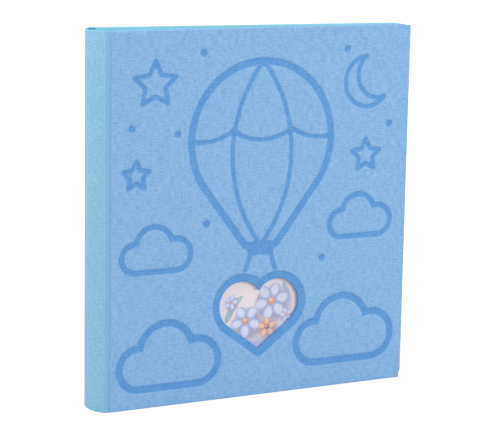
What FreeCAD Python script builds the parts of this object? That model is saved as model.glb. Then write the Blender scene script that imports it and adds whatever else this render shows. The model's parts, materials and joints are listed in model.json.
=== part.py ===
import FreeCAD, Part
import math
import os

import Sketcher
from FreeCAD import Placement, Rotation, Vector

# A book-bound photo and scrapbook album with a round hollow spine and a heart-shaped window
# in its front cover.  It stands closed on its tail edges, with +Z up.  The front cover faces
# -Y, the spine is at -X and the fore-edge at +X.  The origin is the middle of the footprint.
# All lengths are millimetres and all angles are degrees.

DRIVING_SIZES = [
    # Covers.  Widths are measured from the hinge line, which runs along the joint.
    ("cover_height", 305.0),
    ("cover_width", 277.0),
    ("board_thickness", 2.2),
    ("cloth_thickness", 0.4),
    ("pastedown_thickness", 0.2),
    ("turn_in_width", 15.0),
    ("pastedown_margin", 5.0),
    ("groove_width", 4.5),
    ("groove_depth", 0.8),
    ("hinge_lining_width", 25.0),
    # Round spine.
    ("spine_bulge", 8.5),
    ("spine_card_thickness", 1.0),
    ("spine_card_setback", 1.0),
    ("glue_line", 0.05),
    ("joint_clearance", 0.3),
    # Book block: leaves with a card guard between each two, so the spine swells.
    ("leaf_count", 30),
    ("leaf_thickness", 0.18),
    ("leaf_gap", 0.02),
    ("leaf_play", 0.2),
    ("flyleaf_thickness", 0.2),
    ("guard_thickness", 0.83),
    ("guard_width", 12.0),
    ("guard_start", 2.0),
    ("cover_square", 3.5),
    ("block_clearance", 0.3),
    ("lining_thickness", 0.4),
    # Headbands: a cloth tape with a rolled bead on the end of the block.
    ("headband_bead_radius", 1.0),
    ("headband_tape_height", 9.0),
    ("headband_tape_thickness", 0.4),
    # Heart-shaped window: two lobes and two straight sides that meet at the tip.
    ("heart_x", 138.0),
    ("heart_lobe_z", 77.2),
    ("heart_lobe_radius", 20.2),
    ("heart_lobe_offset", 16.5),
    ("heart_side_angle", 53.2),
    ("window_turn_in", 8.0),
    ("window_paper_margin", 1.0),
    # Photo print and its pocket on the inside of the front cover.
    ("photo_width", 127.0),
    ("photo_height", 89.0),
    ("photo_thickness", 0.25),
    ("photo_bottom", 24.0),
    ("photo_play", 0.05),
    ("photo_side_play", 0.5),
    ("photo_grip", 6.0),
    ("pocket_margin", 6.0),
    ("pocket_sheet", 0.25),
]


def derive_sizes(s):
    """Works out the sizes that follow from the driving ones, in the same units."""
    leaves = s["leaf_count"] * s["leaf_thickness"]
    guards = (s["leaf_count"] + 1) * s["guard_thickness"]
    air = (s["leaf_count"] - 1) * s["leaf_gap"]
    photo_space = s["photo_thickness"] + 2 * s["photo_play"]
    pocket_depth = photo_space + s["pocket_sheet"]
    block_half = (leaves + guards) / 2
    fore_half = (leaves + air) / 2
    leaf_hinge_x = s["guard_start"] + s["guard_width"] + s["leaf_play"]
    leaf_end_x = s["cover_width"] - s["cover_square"]

    # Each cover leans in from the swollen spine to the thin fore-edge.
    wedge_rise = block_half - fore_half - s["leaf_gap"]
    wedge = math.asin(wedge_rise / (leaf_end_x - leaf_hinge_x))
    inner_face = 2 * s["cloth_thickness"] + s["board_thickness"] + s["pastedown_thickness"]
    inner_face -= s["groove_depth"]
    beside_block = s["flyleaf_thickness"] + pocket_depth + s["block_clearance"]
    hinge_y = block_half + beside_block + inner_face * math.cos(wedge)
    hinge_y += leaf_hinge_x * math.sin(wedge)

    # The spine is an arc that bulges out from the two hinge lines.
    spine_radius = (hinge_y ** 2 + s["spine_bulge"] ** 2) / (2 * s["spine_bulge"])
    spine_centre = spine_radius - s["spine_bulge"]
    cloth_inside = spine_radius - s["cloth_thickness"]
    cloth_end = math.acos((spine_centre + s["joint_clearance"]) / cloth_inside)
    card_end = cloth_end - s["spine_card_setback"] / spine_radius

    reach = s["cover_width"] * math.cos(wedge) + s["groove_depth"] * math.sin(wedge)
    return [
        ("photo_space", photo_space),
        ("pocket_depth", pocket_depth),
        ("block_half", block_half),
        ("fore_half", fore_half),
        ("leaf_hinge_x", leaf_hinge_x),
        ("leaf_length", leaf_end_x - leaf_hinge_x - s["leaf_play"]),
        ("leaf_end_x", leaf_end_x),
        ("wedge_angle", math.degrees(wedge)),
        ("hinge_x", (s["spine_bulge"] - reach) / 2),
        ("hinge_y", hinge_y),
        ("spine_radius", spine_radius),
        ("spine_cloth_angle", math.degrees(2 * cloth_end)),
        ("spine_card_angle", math.degrees(2 * card_end)),
    ]


def make_sheet(document, rows):
    """Fills the spreadsheet: a name in column A and its aliased value in column B."""
    sheet = document.addObject("Spreadsheet::Sheet", "Sizes")
    for number, (alias, value) in enumerate(rows, start=1):
        sheet.set("A%d" % number, alias)
        sheet.set("B%d" % number, repr(value))
        sheet.setAlias("B%d" % number, alias)
    document.recompute()
    return sheet


doc = FreeCAD.newDocument("Album")
size_rows = DRIVING_SIZES + derive_sizes(dict(DRIVING_SIZES))
sizes = make_sheet(doc, size_rows)
size = {alias: float(sizes.get(alias)) for alias, _ in size_rows}
leaf_count = int(size["leaf_count"])

# Depths in a cover, measured inwards from its hinge line.
OUTER_FACE = -size["groove_depth"]
BOARD_FACE = OUTER_FACE + size["cloth_thickness"]
BOARD_BACK = BOARD_FACE + size["board_thickness"]
PAPER_FACE = BOARD_BACK + size["cloth_thickness"]
INNER_FACE = PAPER_FACE + size["pastedown_thickness"]

pieces = []


def keep(piece, placement):
    """Sets a finished sub-part in its place and lists it for writing."""
    piece.Placement = placement
    pieces.append(piece)
    return piece


# ---------------------------------------------------------------- places

def cover_place(side, depth, along=0.0, up=0.0):
    """Place in a cover's frame: X from the hinge line to the fore-edge, Y inwards."""
    lean = Rotation(Vector(0, 0, 1), size["wedge_angle"])
    if side == "front":
        hinge = Placement(Vector(size["hinge_x"], -size["hinge_y"], 0), lean)
    else:
        over = Rotation(Vector(1, 0, 0), 180) * lean
        hinge = Placement(Vector(size["hinge_x"], size["hinge_y"], size["cover_height"]), over)
    return hinge * Placement(Vector(along, depth, up), Rotation())


def sheet_ends(number):
    """Distance of a sheet's middle from the centre plane, at its hinge and at the fore-edge.

    Sheet 0 is the front flyleaf, and the sheet after the last leaf is the back flyleaf.
    """
    if number == 0:
        return (
            -size["block_half"] - size["flyleaf_thickness"] / 2,
            -size["fore_half"] - size["leaf_gap"] - size["flyleaf_thickness"] / 2,
        )
    if number == leaf_count + 1:
        return tuple(-end for end in sheet_ends(0))
    before = number - 1
    half_leaf = size["leaf_thickness"] / 2
    pitch = size["leaf_thickness"] + size["guard_thickness"]
    at_hinge = -size["block_half"] + size["guard_thickness"] + before * pitch + half_leaf
    fore_pitch = size["leaf_thickness"] + size["leaf_gap"]
    at_fore_edge = -size["fore_half"] + before * fore_pitch + half_leaf
    return at_hinge, at_fore_edge


def leaf_place(number, thickness):
    """Place of a leaf's corner, turned so that the leaf runs to its fore-edge."""
    at_hinge, at_fore_edge = sheet_ends(number)
    run = size["leaf_end_x"] - size["leaf_hinge_x"]
    turn = math.degrees(math.atan2(at_fore_edge - at_hinge, run))
    corner = Vector(size["hinge_x"] + size["leaf_hinge_x"], at_hinge, size["cover_square"])
    hinge = Placement(corner, Rotation(Vector(0, 0, 1), turn))
    return hinge * Placement(Vector(size["leaf_play"], -thickness / 2, 0), Rotation())


def block_place(along, across, up=0.0):
    """Place in the book block: along from the hinge line, across from the centre plane."""
    return Placement(Vector(size["hinge_x"] + along, across, up), Rotation())


def spine_place():
    """Place of the axis that the round spine is turned about."""
    centre = size["hinge_x"] - size["spine_bulge"] + size["spine_radius"]
    return Placement(Vector(centre, 0, 0), Rotation())


# ---------------------------------------------------------------- sketches and features

def new_sketch(body, name, plane="XZ_Plane", depth="0"):
    """Sketch on one of the body's origin planes, moved inwards along +Y by a depth."""
    sketch = body.newObject("Sketcher::SketchObject", body.Name + "_" + name)
    support = [face for face in body.Origin.OriginFeatures if face.Role == plane]
    sketch.AttachmentSupport = (support[0], [""])
    sketch.MapMode = "FlatFace"
    if depth != "0":
        sketch.setExpression("AttachmentOffset.Base.z", "-(%s)" % depth)
    return sketch


def bind_point(sketch, curve, end, across, up):
    """Ties one point of a curve to the sketch's origin by two formulas."""
    for kind, axis, formula in (("DistanceX", -2, across), ("DistanceY", -1, up)):
        value = sketch.evalExpression(formula)
        if value == 0:
            sketch.addConstraint(Sketcher.Constraint("PointOnObject", curve, end, axis))
            continue
        bound = formula
        points = (-1, 1, curve, end)
        if value < 0:
            bound = "-(%s)" % formula
            points = (curve, end, -1, 1)
        number = sketch.addConstraint(Sketcher.Constraint(kind, *points, abs(value)))
        sketch.setExpression("Constraints[%d]" % number, bound)


def draw_polygon(sketch, corners):
    """Closed outline of straight lines, each corner given as a pair of formulas."""
    points = [
        Vector(sketch.evalExpression(across), sketch.evalExpression(up), 0)
        for across, up in corners
    ]
    for number, point in enumerate(points):
        following = points[(number + 1) % len(points)]
        sketch.addGeometry(Part.LineSegment(point, following), False)
    for number, (across, up) in enumerate(corners):
        before = (number - 1) % len(corners)
        sketch.addConstraint(Sketcher.Constraint("Coincident", before, 2, number, 1))
        bind_point(sketch, number, 1, across, up)


def draw_rectangle(sketch, left, right, bottom, top):
    """Rectangle between four formulas."""
    draw_polygon(sketch, [(left, bottom), (right, bottom), (right, top), (left, top)])


def draw_heart(sketch, margin):
    """The window's outline, let out all round by a margin."""
    radius = "(Sizes.heart_lobe_radius + %s)" % margin
    lean = "(Sizes.heart_side_angle * 1 deg)"
    reach = "(Sizes.heart_lobe_offset + %s * cos(%s))" % (radius, lean)
    shoulder_z = "Sizes.heart_lobe_z - %s * sin(%s)" % (radius, lean)
    notch_z = "Sizes.heart_lobe_z + sqrt(%s ^ 2 - Sizes.heart_lobe_offset ^ 2)" % radius
    drop = "(%s + Sizes.heart_lobe_offset * cos(%s)) / sin(%s)" % (radius, lean, lean)
    corners = {
        "notch": ("Sizes.heart_x", notch_z),
        "right": ("Sizes.heart_x + " + reach, shoulder_z),
        "tip": ("Sizes.heart_x", "Sizes.heart_lobe_z - " + drop),
        "left": ("Sizes.heart_x - " + reach, shoulder_z),
    }
    point = {
        name: Vector(sketch.evalExpression(across), sketch.evalExpression(up), 0)
        for name, (across, up) in corners.items()
    }
    lobe_radius = sketch.evalExpression(radius)
    side_angle = math.radians(size["heart_side_angle"])
    notch_angle = math.acos(size["heart_lobe_offset"] / lobe_radius)
    lobes = (
        (1, -side_angle, math.pi - notch_angle),
        (-1, notch_angle, math.pi + side_angle),
    )
    for sign, start, end in lobes:
        centre = Vector(size["heart_x"] + sign * size["heart_lobe_offset"], size["heart_lobe_z"], 0)
        circle = Part.Circle(centre, Vector(0, 0, 1), lobe_radius)
        sketch.addGeometry(Part.ArcOfCircle(circle, start, end), False)
    sketch.addGeometry(Part.LineSegment(point["left"], point["tip"]), False)
    sketch.addGeometry(Part.LineSegment(point["tip"], point["right"]), False)

    right_lobe, left_lobe, left_side, right_side = range(4)
    joined = (
        (right_lobe, 2, left_lobe, 1),
        (left_lobe, 2, left_side, 1),
        (left_side, 2, right_side, 1),
        (right_side, 2, right_lobe, 1),
    )
    for ends in joined:
        sketch.addConstraint(Sketcher.Constraint("Coincident", *ends))
    bind_point(sketch, right_lobe, 2, *corners["notch"])
    bind_point(sketch, left_lobe, 2, *corners["left"])
    bind_point(sketch, left_side, 2, *corners["tip"])
    bind_point(sketch, right_side, 2, *corners["right"])
    for lobe in (right_lobe, left_lobe):
        number = sketch.addConstraint(Sketcher.Constraint("Radius", lobe, lobe_radius))
        sketch.setExpression("Constraints[%d]" % number, radius)


def add_feature(body, kind, sketch, length):
    """Pad or pocket that runs from its sketch to greater depth."""
    feature = body.newObject("PartDesign::" + kind, sketch.Name + "_" + kind.lower())
    feature.Profile = sketch
    feature.setExpression("Length", length)
    feature.Reversed = kind == "Pad"
    sketch.Visibility = False
    return feature


def cut_heart(body, margin, length):
    """Heart-shaped hole right through a sheet or board."""
    sketch = new_sketch(body, "heart")
    draw_heart(sketch, margin)
    add_feature(body, "Pocket", sketch, length)


def make_box(name, length, width, height):
    """Plain sheet, strip or board whose three sides are formulas."""
    box = doc.addObject("Part::Box", name)
    box.setExpression("Length", length)
    box.setExpression("Width", width)
    box.setExpression("Height", height)
    return box


# ---------------------------------------------------------------- covers

def make_board(side):
    """Greyboard of a cover, with the window cut out of the front one."""
    body = doc.addObject("PartDesign::Body", side + "_board")
    sketch = new_sketch(body, "outline")
    draw_rectangle(
        sketch,
        "Sizes.groove_width",
        "Sizes.cover_width - Sizes.cloth_thickness",
        "Sizes.cloth_thickness",
        "Sizes.cover_height - Sizes.cloth_thickness",
    )
    add_feature(body, "Pad", sketch, "Sizes.board_thickness")
    if side == "front":
        cut_heart(body, "Sizes.cloth_thickness", "Sizes.board_thickness")
    keep(body, cover_place(side, BOARD_FACE))


def make_cover_cloth(side):
    """Cloth over the outside of a board, turned in over its head, tail and fore-edge."""
    body = doc.addObject("PartDesign::Body", side + "_cover_cloth")
    wrapped = "2 * Sizes.cloth_thickness + Sizes.board_thickness"
    behind_board = "Sizes.cloth_thickness + Sizes.board_thickness"

    outside = new_sketch(body, "outside")
    draw_rectangle(outside, "Sizes.groove_width", "Sizes.cover_width", "0", "Sizes.cover_height")
    add_feature(body, "Pad", outside, wrapped)

    board_space = new_sketch(body, "board_space", depth="Sizes.cloth_thickness")
    draw_rectangle(
        board_space,
        "0",
        "Sizes.cover_width - Sizes.cloth_thickness",
        "Sizes.cloth_thickness",
        "Sizes.cover_height - Sizes.cloth_thickness",
    )
    add_feature(body, "Pocket", board_space, "Sizes.board_thickness")

    turn_in = new_sketch(body, "turn_in", depth=behind_board)
    draw_rectangle(
        turn_in,
        "0",
        "Sizes.cover_width - Sizes.turn_in_width",
        "Sizes.turn_in_width",
        "Sizes.cover_height - Sizes.turn_in_width",
    )
    add_feature(body, "Pocket", turn_in, "Sizes.cloth_thickness")

    if side == "front":
        edge = new_sketch(body, "window_edge", depth="Sizes.cloth_thickness")
        draw_heart(edge, "Sizes.cloth_thickness")
        add_feature(body, "Pad", edge, "Sizes.board_thickness")
        lip = new_sketch(body, "window_turn_in", depth=behind_board)
        draw_heart(lip, "Sizes.window_turn_in")
        add_feature(body, "Pad", lip, "Sizes.cloth_thickness")
        cut_heart(body, "0", wrapped)
    keep(body, cover_place(side, OUTER_FACE))


def make_joint_cloth(side):
    """Spine cloth in the groove beside a board, run up the board's edge to its outer face."""
    body = doc.addObject("PartDesign::Body", side + "_joint_cloth")
    sketch = new_sketch(body, "section", plane="XY_Plane")
    inner_edge = "Sizes.groove_width - Sizes.cloth_thickness"
    draw_polygon(sketch, [
        ("0", "0"),
        (inner_edge, "0"),
        (inner_edge, "-Sizes.groove_depth"),
        ("Sizes.groove_width", "-Sizes.groove_depth"),
        ("Sizes.groove_width", "Sizes.cloth_thickness"),
        ("0", "Sizes.cloth_thickness"),
    ])
    strip = body.newObject("PartDesign::Pad", side + "_joint_strip")
    strip.Profile = sketch
    strip.setExpression("Length", "Sizes.cover_height")
    sketch.Visibility = False
    keep(body, cover_place(side, 0))


def make_hinge_lining(side):
    """Flange of the block's mull, glued to the back of the board beside the joint."""
    flange = make_box(
        side + "_hinge_lining",
        "Sizes.hinge_lining_width",
        "Sizes.cloth_thickness",
        "Sizes.cover_height - 2 * Sizes.turn_in_width",
    )
    along = size["groove_width"]
    keep(flange, cover_place(side, BOARD_BACK, along, size["turn_in_width"]))


def make_pastedown(side):
    """Endpaper over the turn-ins, with a hole for the window in the front one."""
    body = doc.addObject("PartDesign::Body", side + "_pastedown")
    sketch = new_sketch(body, "outline")
    draw_rectangle(
        sketch,
        "Sizes.groove_width",
        "Sizes.cover_width - Sizes.pastedown_margin",
        "Sizes.pastedown_margin",
        "Sizes.cover_height - Sizes.pastedown_margin",
    )
    add_feature(body, "Pad", sketch, "Sizes.pastedown_thickness")
    if side == "front":
        cut_heart(body, "Sizes.window_paper_margin", "Sizes.pastedown_thickness")
    keep(body, cover_place(side, PAPER_FACE))


def make_cover(side):
    """All the pieces that turn with one cover."""
    make_joint_cloth(side)
    make_board(side)
    make_cover_cloth(side)
    make_hinge_lining(side)
    make_pastedown(side)


# ---------------------------------------------------------------- photo and its pocket

def make_photo_pocket():
    """Paper pocket behind the window, open at the top, glued down on its other three sides."""
    body = doc.addObject("PartDesign::Body", "photo_pocket")
    half_space = "(Sizes.photo_width / 2 + Sizes.photo_side_play)"
    half_width = "(Sizes.photo_width / 2 + Sizes.photo_side_play + Sizes.pocket_margin)"
    floor = "Sizes.photo_bottom - Sizes.photo_side_play"
    mouth = "Sizes.photo_bottom + Sizes.photo_height - Sizes.photo_grip"
    outline = new_sketch(body, "outline")
    draw_rectangle(
        outline,
        "Sizes.heart_x - " + half_width,
        "Sizes.heart_x + " + half_width,
        floor + " - Sizes.pocket_margin",
        mouth,
    )
    add_feature(body, "Pad", outline, "Sizes.pocket_depth")
    space = new_sketch(body, "space")
    draw_rectangle(
        space,
        "Sizes.heart_x - " + half_space,
        "Sizes.heart_x + " + half_space,
        floor,
        mouth + " + Sizes.photo_grip",
    )
    add_feature(body, "Pocket", space, "Sizes.photo_space")
    keep(body, cover_place("front", INNER_FACE))


def make_photo_print():
    """Print that slides up out of the pocket."""
    photo = make_box(
        "photo_print", "Sizes.photo_width", "Sizes.photo_thickness", "Sizes.photo_height"
    )
    along = size["heart_x"] - size["photo_width"] / 2
    depth = INNER_FACE + size["photo_play"]
    keep(photo, cover_place("front", depth, along, size["photo_bottom"]))


# ---------------------------------------------------------------- spine

def turn_spine(body, sketch, angle):
    """Turns a section of the spine about its upright axis, the same way each side."""
    turned = body.newObject("PartDesign::Revolution", body.Name + "_turned")
    turned.Profile = sketch
    turned.ReferenceAxis = (sketch, ["V_Axis"])
    turned.Midplane = True
    turned.setExpression("Angle", angle)
    sketch.Visibility = False


def make_spine_cloth():
    """Cloth round the spine card, turned in at the head and the tail."""
    body = doc.addObject("PartDesign::Body", "spine_cloth")
    outside = "-Sizes.spine_radius"
    under = outside + " + Sizes.cloth_thickness"
    lip_outside = under + " + 2 * Sizes.glue_line + Sizes.spine_card_thickness"
    lip_inside = lip_outside + " + Sizes.cloth_thickness"
    tail_fold = "Sizes.cloth_thickness"
    head_fold = "Sizes.cover_height - Sizes.cloth_thickness"
    tail_lip = "Sizes.turn_in_width"
    head_lip = "Sizes.cover_height - Sizes.turn_in_width"
    sketch = new_sketch(body, "section")
    draw_polygon(sketch, [
        (outside, "0"),
        (lip_inside, "0"),
        (lip_inside, tail_lip),
        (lip_outside, tail_lip),
        (lip_outside, tail_fold),
        (under, tail_fold),
        (under, head_fold),
        (lip_outside, head_fold),
        (lip_outside, head_lip),
        (lip_inside, head_lip),
        (lip_inside, "Sizes.cover_height"),
        (outside, "Sizes.cover_height"),
    ])
    turn_spine(body, sketch, "Sizes.spine_cloth_angle")
    keep(body, spine_place())


def make_spine_card():
    """Curved card strip that shapes the hollow spine."""
    body = doc.addObject("PartDesign::Body", "spine_card")
    outside = "-Sizes.spine_radius + Sizes.cloth_thickness + Sizes.glue_line"
    sketch = new_sketch(body, "section")
    draw_rectangle(
        sketch,
        outside,
        outside + " + Sizes.spine_card_thickness",
        "Sizes.cloth_thickness",
        "Sizes.cover_height - Sizes.cloth_thickness",
    )
    turn_spine(body, sketch, "Sizes.spine_card_angle")
    keep(body, spine_place())


def make_spine_lining():
    """Mull on the back of the book block, with its flanges reaching into both joints."""
    half_width = size["hinge_y"] - size["cloth_thickness"] - size["joint_clearance"]
    lining = make_box(
        "spine_lining",
        "Sizes.lining_thickness",
        "2 * (Sizes.hinge_y - Sizes.cloth_thickness - Sizes.joint_clearance)",
        "Sizes.cover_height - 2 * Sizes.cover_square",
    )
    along = size["guard_start"] - size["lining_thickness"]
    keep(lining, block_place(along, -half_width, size["cover_square"]))


def make_headband(end):
    """Rolled bead on the end of the block, with a tape down the back of the mull."""
    tape = make_box(
        end + "_headband_tape",
        "Sizes.headband_tape_thickness",
        "2 * Sizes.block_half",
        "Sizes.headband_tape_height + Sizes.headband_bead_radius",
    )
    bead = doc.addObject("Part::Cylinder", end + "_headband_bead")
    bead.setExpression("Radius", "Sizes.headband_bead_radius")
    bead.setExpression("Height", "2 * Sizes.block_half")
    band = doc.addObject("Part::MultiFuse", "headband_" + end)
    band.Shapes = [tape, bead]

    back = size["guard_start"] - size["lining_thickness"] - size["headband_tape_thickness"]
    block_end = size["cover_height"] - size["cover_square"]
    tape_bottom = block_end - size["headband_tape_height"]
    bead_height = block_end + size["headband_bead_radius"]
    if end == "tail":
        block_end = size["cover_square"]
        tape_bottom = block_end - size["headband_bead_radius"]
        bead_height = block_end - size["headband_bead_radius"]
    tape.Placement = block_place(back, -size["block_half"], tape_bottom)
    lying = Rotation(Vector(1, 0, 0), -90)
    middle = size["hinge_x"] + back + size["headband_bead_radius"]
    bead.Placement = Placement(Vector(middle, -size["block_half"], bead_height), lying)
    keep(band, Placement())


# ---------------------------------------------------------------- book block

def make_group(name, members):
    """Group of separate solids that share one node."""
    group = doc.addObject("Part::Compound", name)
    group.Links = members
    keep(group, Placement())


def make_guards():
    """Card guards between the leaves at the spine."""
    guards = []
    pitch = size["guard_thickness"] + size["leaf_thickness"]
    for number in range(leaf_count + 1):
        guard = make_box(
            "guard_%02d" % (number + 1),
            "Sizes.guard_width",
            "Sizes.guard_thickness",
            "Sizes.cover_height - 2 * Sizes.cover_square",
        )
        across = -size["block_half"] + number * pitch
        guard.Placement = block_place(size["guard_start"], across, size["cover_square"])
        guards.append(guard)
    make_group("guard_strips", guards)


def make_stubs():
    """Glued edge of each leaf and flyleaf, held fast beside the guards."""
    stubs = []
    for number in range(leaf_count + 2):
        flyleaf = number in (0, leaf_count + 1)
        thickness = "flyleaf_thickness" if flyleaf else "leaf_thickness"
        stub = make_box(
            "stub_%02d" % number,
            "Sizes.guard_width",
            "Sizes." + thickness,
            "Sizes.cover_height - 2 * Sizes.cover_square",
        )
        across = sheet_ends(number)[0] - size[thickness] / 2
        stub.Placement = block_place(size["guard_start"], across, size["cover_square"])
        stubs.append(stub)
    make_group("leaf_stubs", stubs)


def make_leaf(name, number, thickness):
    """Free part of a leaf or flyleaf, from its fold to the fore-edge."""
    leaf = make_box(
        name,
        "Sizes.leaf_length",
        "Sizes." + thickness,
        "Sizes.cover_height - 2 * Sizes.cover_square",
    )
    keep(leaf, leaf_place(number, size[thickness]))


def make_leaves():
    """Every leaf and the two flyleaves."""
    make_leaf("front_flyleaf", 0, "flyleaf_thickness")
    for number in range(1, leaf_count + 1):
        make_leaf("leaf_%02d" % number, number, "leaf_thickness")
    make_leaf("back_flyleaf", leaf_count + 1, "flyleaf_thickness")


# ---------------------------------------------------------------- check and write

def check_document():
    """Stops at the first object that failed and at any piece without a good solid."""
    for item in doc.Objects:
        if "Invalid" in item.State or "Error" in item.State:
            raise RuntimeError("%s did not recompute: %s" % (item.Label, item.State))
    for piece in pieces:
        shape = piece.Shape
        if shape.isNull() or not shape.isValid() or not shape.Solids:
            raise RuntimeError("%s has no good solid" % piece.Label)


def write_pieces():
    """Writes each sub-part to its own STEP file."""
    os.makedirs("parts", exist_ok=True)
    for piece in pieces:
        piece.Shape.exportStep("parts/%s.step" % piece.Label)
        box = piece.Shape.BoundBox
        print(
            "%-18s %2d solid(s) %10.1f mm3  x %8.2f %8.2f  y %7.2f %7.2f  z %7.2f %7.2f"
            % (
                piece.Label, len(piece.Shape.Solids), piece.Shape.Volume,
                box.XMin, box.XMax, box.YMin, box.YMax, box.ZMin, box.ZMax,
            )
        )


for cover_side in ("front", "back"):
    make_cover(cover_side)
make_photo_pocket()
make_photo_print()
make_spine_cloth()
make_spine_card()
make_spine_lining()
make_headband("head")
make_headband("tail")
make_guards()
make_stubs()
make_leaves()
doc.recompute()
check_document()
write_pieces()
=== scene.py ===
"""A cloth-bound scrapbook album with a round hollow spine and a heart-shaped window.

The album stands closed on its tail edges.  Lengths are metres in the row frame: +Z is up, the
front cover faces -Y, the spine is at -X and the fore-edge at +X.  A cover also has a frame of
its own, in which X runs from the hinge line to the fore-edge, Y goes inwards and Z is up.
"""

import json
import logging
import math
from collections.abc import Callable
from dataclasses import dataclass, field
from enum import Enum
from functools import reduce

import bmesh
import bpy
import numpy as np
from mathutils import Matrix, Vector

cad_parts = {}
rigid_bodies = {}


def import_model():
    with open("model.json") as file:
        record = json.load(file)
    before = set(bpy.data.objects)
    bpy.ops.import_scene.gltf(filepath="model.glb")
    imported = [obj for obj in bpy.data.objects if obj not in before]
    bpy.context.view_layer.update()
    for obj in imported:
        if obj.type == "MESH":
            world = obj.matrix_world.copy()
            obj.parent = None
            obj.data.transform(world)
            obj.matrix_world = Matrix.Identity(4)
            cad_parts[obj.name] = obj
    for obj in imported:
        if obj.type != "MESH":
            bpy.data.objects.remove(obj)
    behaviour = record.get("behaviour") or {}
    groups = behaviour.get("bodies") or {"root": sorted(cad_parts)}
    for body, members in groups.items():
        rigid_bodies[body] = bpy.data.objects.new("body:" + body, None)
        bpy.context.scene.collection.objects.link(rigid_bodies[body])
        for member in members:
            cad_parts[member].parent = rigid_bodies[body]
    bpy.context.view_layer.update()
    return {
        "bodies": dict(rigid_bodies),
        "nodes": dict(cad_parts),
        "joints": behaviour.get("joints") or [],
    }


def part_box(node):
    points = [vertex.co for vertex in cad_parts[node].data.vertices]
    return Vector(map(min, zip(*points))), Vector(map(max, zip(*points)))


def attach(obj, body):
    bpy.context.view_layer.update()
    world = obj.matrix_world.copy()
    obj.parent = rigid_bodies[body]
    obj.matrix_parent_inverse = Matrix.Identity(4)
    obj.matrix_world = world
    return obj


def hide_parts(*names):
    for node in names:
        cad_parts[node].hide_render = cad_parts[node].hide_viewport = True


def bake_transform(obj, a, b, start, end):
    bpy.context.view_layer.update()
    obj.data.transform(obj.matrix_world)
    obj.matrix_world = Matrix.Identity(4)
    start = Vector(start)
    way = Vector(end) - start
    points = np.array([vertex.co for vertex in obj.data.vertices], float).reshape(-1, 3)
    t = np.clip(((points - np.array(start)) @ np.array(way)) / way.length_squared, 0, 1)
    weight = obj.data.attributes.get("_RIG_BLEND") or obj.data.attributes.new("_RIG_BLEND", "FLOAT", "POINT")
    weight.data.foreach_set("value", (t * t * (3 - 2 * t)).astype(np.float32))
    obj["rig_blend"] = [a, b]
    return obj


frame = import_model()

MM = 0.001
CLOTH_LAYER = "cloth_position"
PRESSED_LAYER = "pressed"
TURNED_IN_LIGHT_AND_SHADE_LAYER = "turned_in_light_and_shade"
PRINT_LAYER = "print_position"
TINT_LAYER = "tint"
OUTWARD_LAYER = "outward"
# Edges between faces that meet at more than this are shaded sharp.
SHARP_ANGLE = math.radians(40)
# Scale of a wave texture that gives one band in each metre.
WAVE_SCALE = 0.314
# A mesh's vertices within this of a line or an edge are taken to lie on it.
NEAR = 0.01 * MM
# A sheet is declared at least this wide, and its true area with it.
FLOAT = {"data_type": "FLOAT"}
RGBA = {"data_type": "RGBA"}
BANDS = {"wave_type": "BANDS"}
SMOOTH = {"interpolation_type": "SMOOTHSTEP"}
LENGTH = {"operation": "LENGTH"}

Pairs = list[tuple[float, float]]

log = logging.getLogger("album")


class Side(Enum):
    """Which of the two covers."""

    FRONT = "front"
    BACK = "back"

    @property
    def sign(self) -> int:
        """+1 for the front cover and -1 for the back, which is its mirror image."""
        return 1 if self is Side.FRONT else -1


# ---------------------------------------------------------------- node and mesh helpers

def linear(hex_colour: str) -> tuple[float, float, float, float]:
    """Turns an sRGB hex colour into a linear one.

    Args:
        hex_colour: The colour, such as #97C2EC.

    Returns:
        Linear red, green and blue, and an alpha of 1.
    """
    parts = [int(hex_colour[i:i + 2], 16) / 255 for i in (1, 3, 5)]
    red, green, blue = (p / 12.92 if p <= 0.04045 else ((p + 0.055) / 1.055) ** 2.4 for p in parts)
    return red, green, blue, 1.0


def add_node(tree: bpy.types.NodeTree, kind: str, settings: dict | None = None,
             inputs: dict | None = None) -> bpy.types.Node:
    """Adds a node to a tree.

    Args:
        tree: The material's or world's node tree.
        kind: The node's type without ShaderNode, such as Mix.
        settings: Values for the node's own properties.
        inputs: Value or output socket for each input, by the input's name or number.

    Returns:
        The new node.
    """
    node = tree.nodes.new("ShaderNode" + kind)
    for name, value in (settings or {}).items():
        setattr(node, name, value)
    for name, value in (inputs or {}).items():
        if isinstance(value, bpy.types.NodeSocket):
            tree.links.new(value, node.inputs[name])
        else:
            node.inputs[name].default_value = value
    return node


def new_material(name: str) -> tuple[bpy.types.Material, bpy.types.NodeTree]:
    """Makes a material with an empty node tree.

    Args:
        name: The material's name.

    Returns:
        The material and its node tree.
    """
    material = bpy.data.materials.new(name)
    material.use_nodes = True
    material.node_tree.nodes.clear()
    return material, material.node_tree


def finish_material(tree: bpy.types.NodeTree, surface: bpy.types.Node) -> None:
    """Links a shader node to the tree's output."""
    add_node(tree, "OutputMaterial", inputs={"Surface": surface.outputs[0]})


def make_object(name: str, bm: bmesh.types.BMesh, materials: list[bpy.types.Material],
                smooth: bool = True) -> bpy.types.Object:
    """Turns a bmesh into a shown object at the origin and frees the bmesh.

    Args:
        name: The piece's name.
        bm: The mesh, already in the row frame.
        materials: Its material slots in order.
        smooth: Whether its faces are shaded smooth, with sharp edges past SHARP_ANGLE.

    Returns:
        The new object.
    """
    mesh = bpy.data.meshes.new(name)
    bm.to_mesh(mesh)
    bm.free()
    for material in materials:
        mesh.materials.append(material)
    if smooth:
        mesh.shade_smooth()
        mesh.set_sharp_from_angle(angle=SHARP_ANGLE)
    piece = bpy.data.objects.new(name, mesh)
    bpy.context.scene.collection.objects.link(piece)
    return piece


def thicken(piece: bpy.types.Object, thickness: float, second: bool = False) -> None:
    """Gives a sheet its thickness, inwards from the faces it has.

    Args:
        piece: The sheet.
        thickness: Its thickness.
        second: Whether the new back and rim take the second material slot.
    """
    solid = piece.modifiers.new("thickness", "SOLIDIFY")
    solid.thickness = thickness
    solid.offset = -1
    solid.material_offset = int(second)
    solid.material_offset_rim = int(second)


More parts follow.
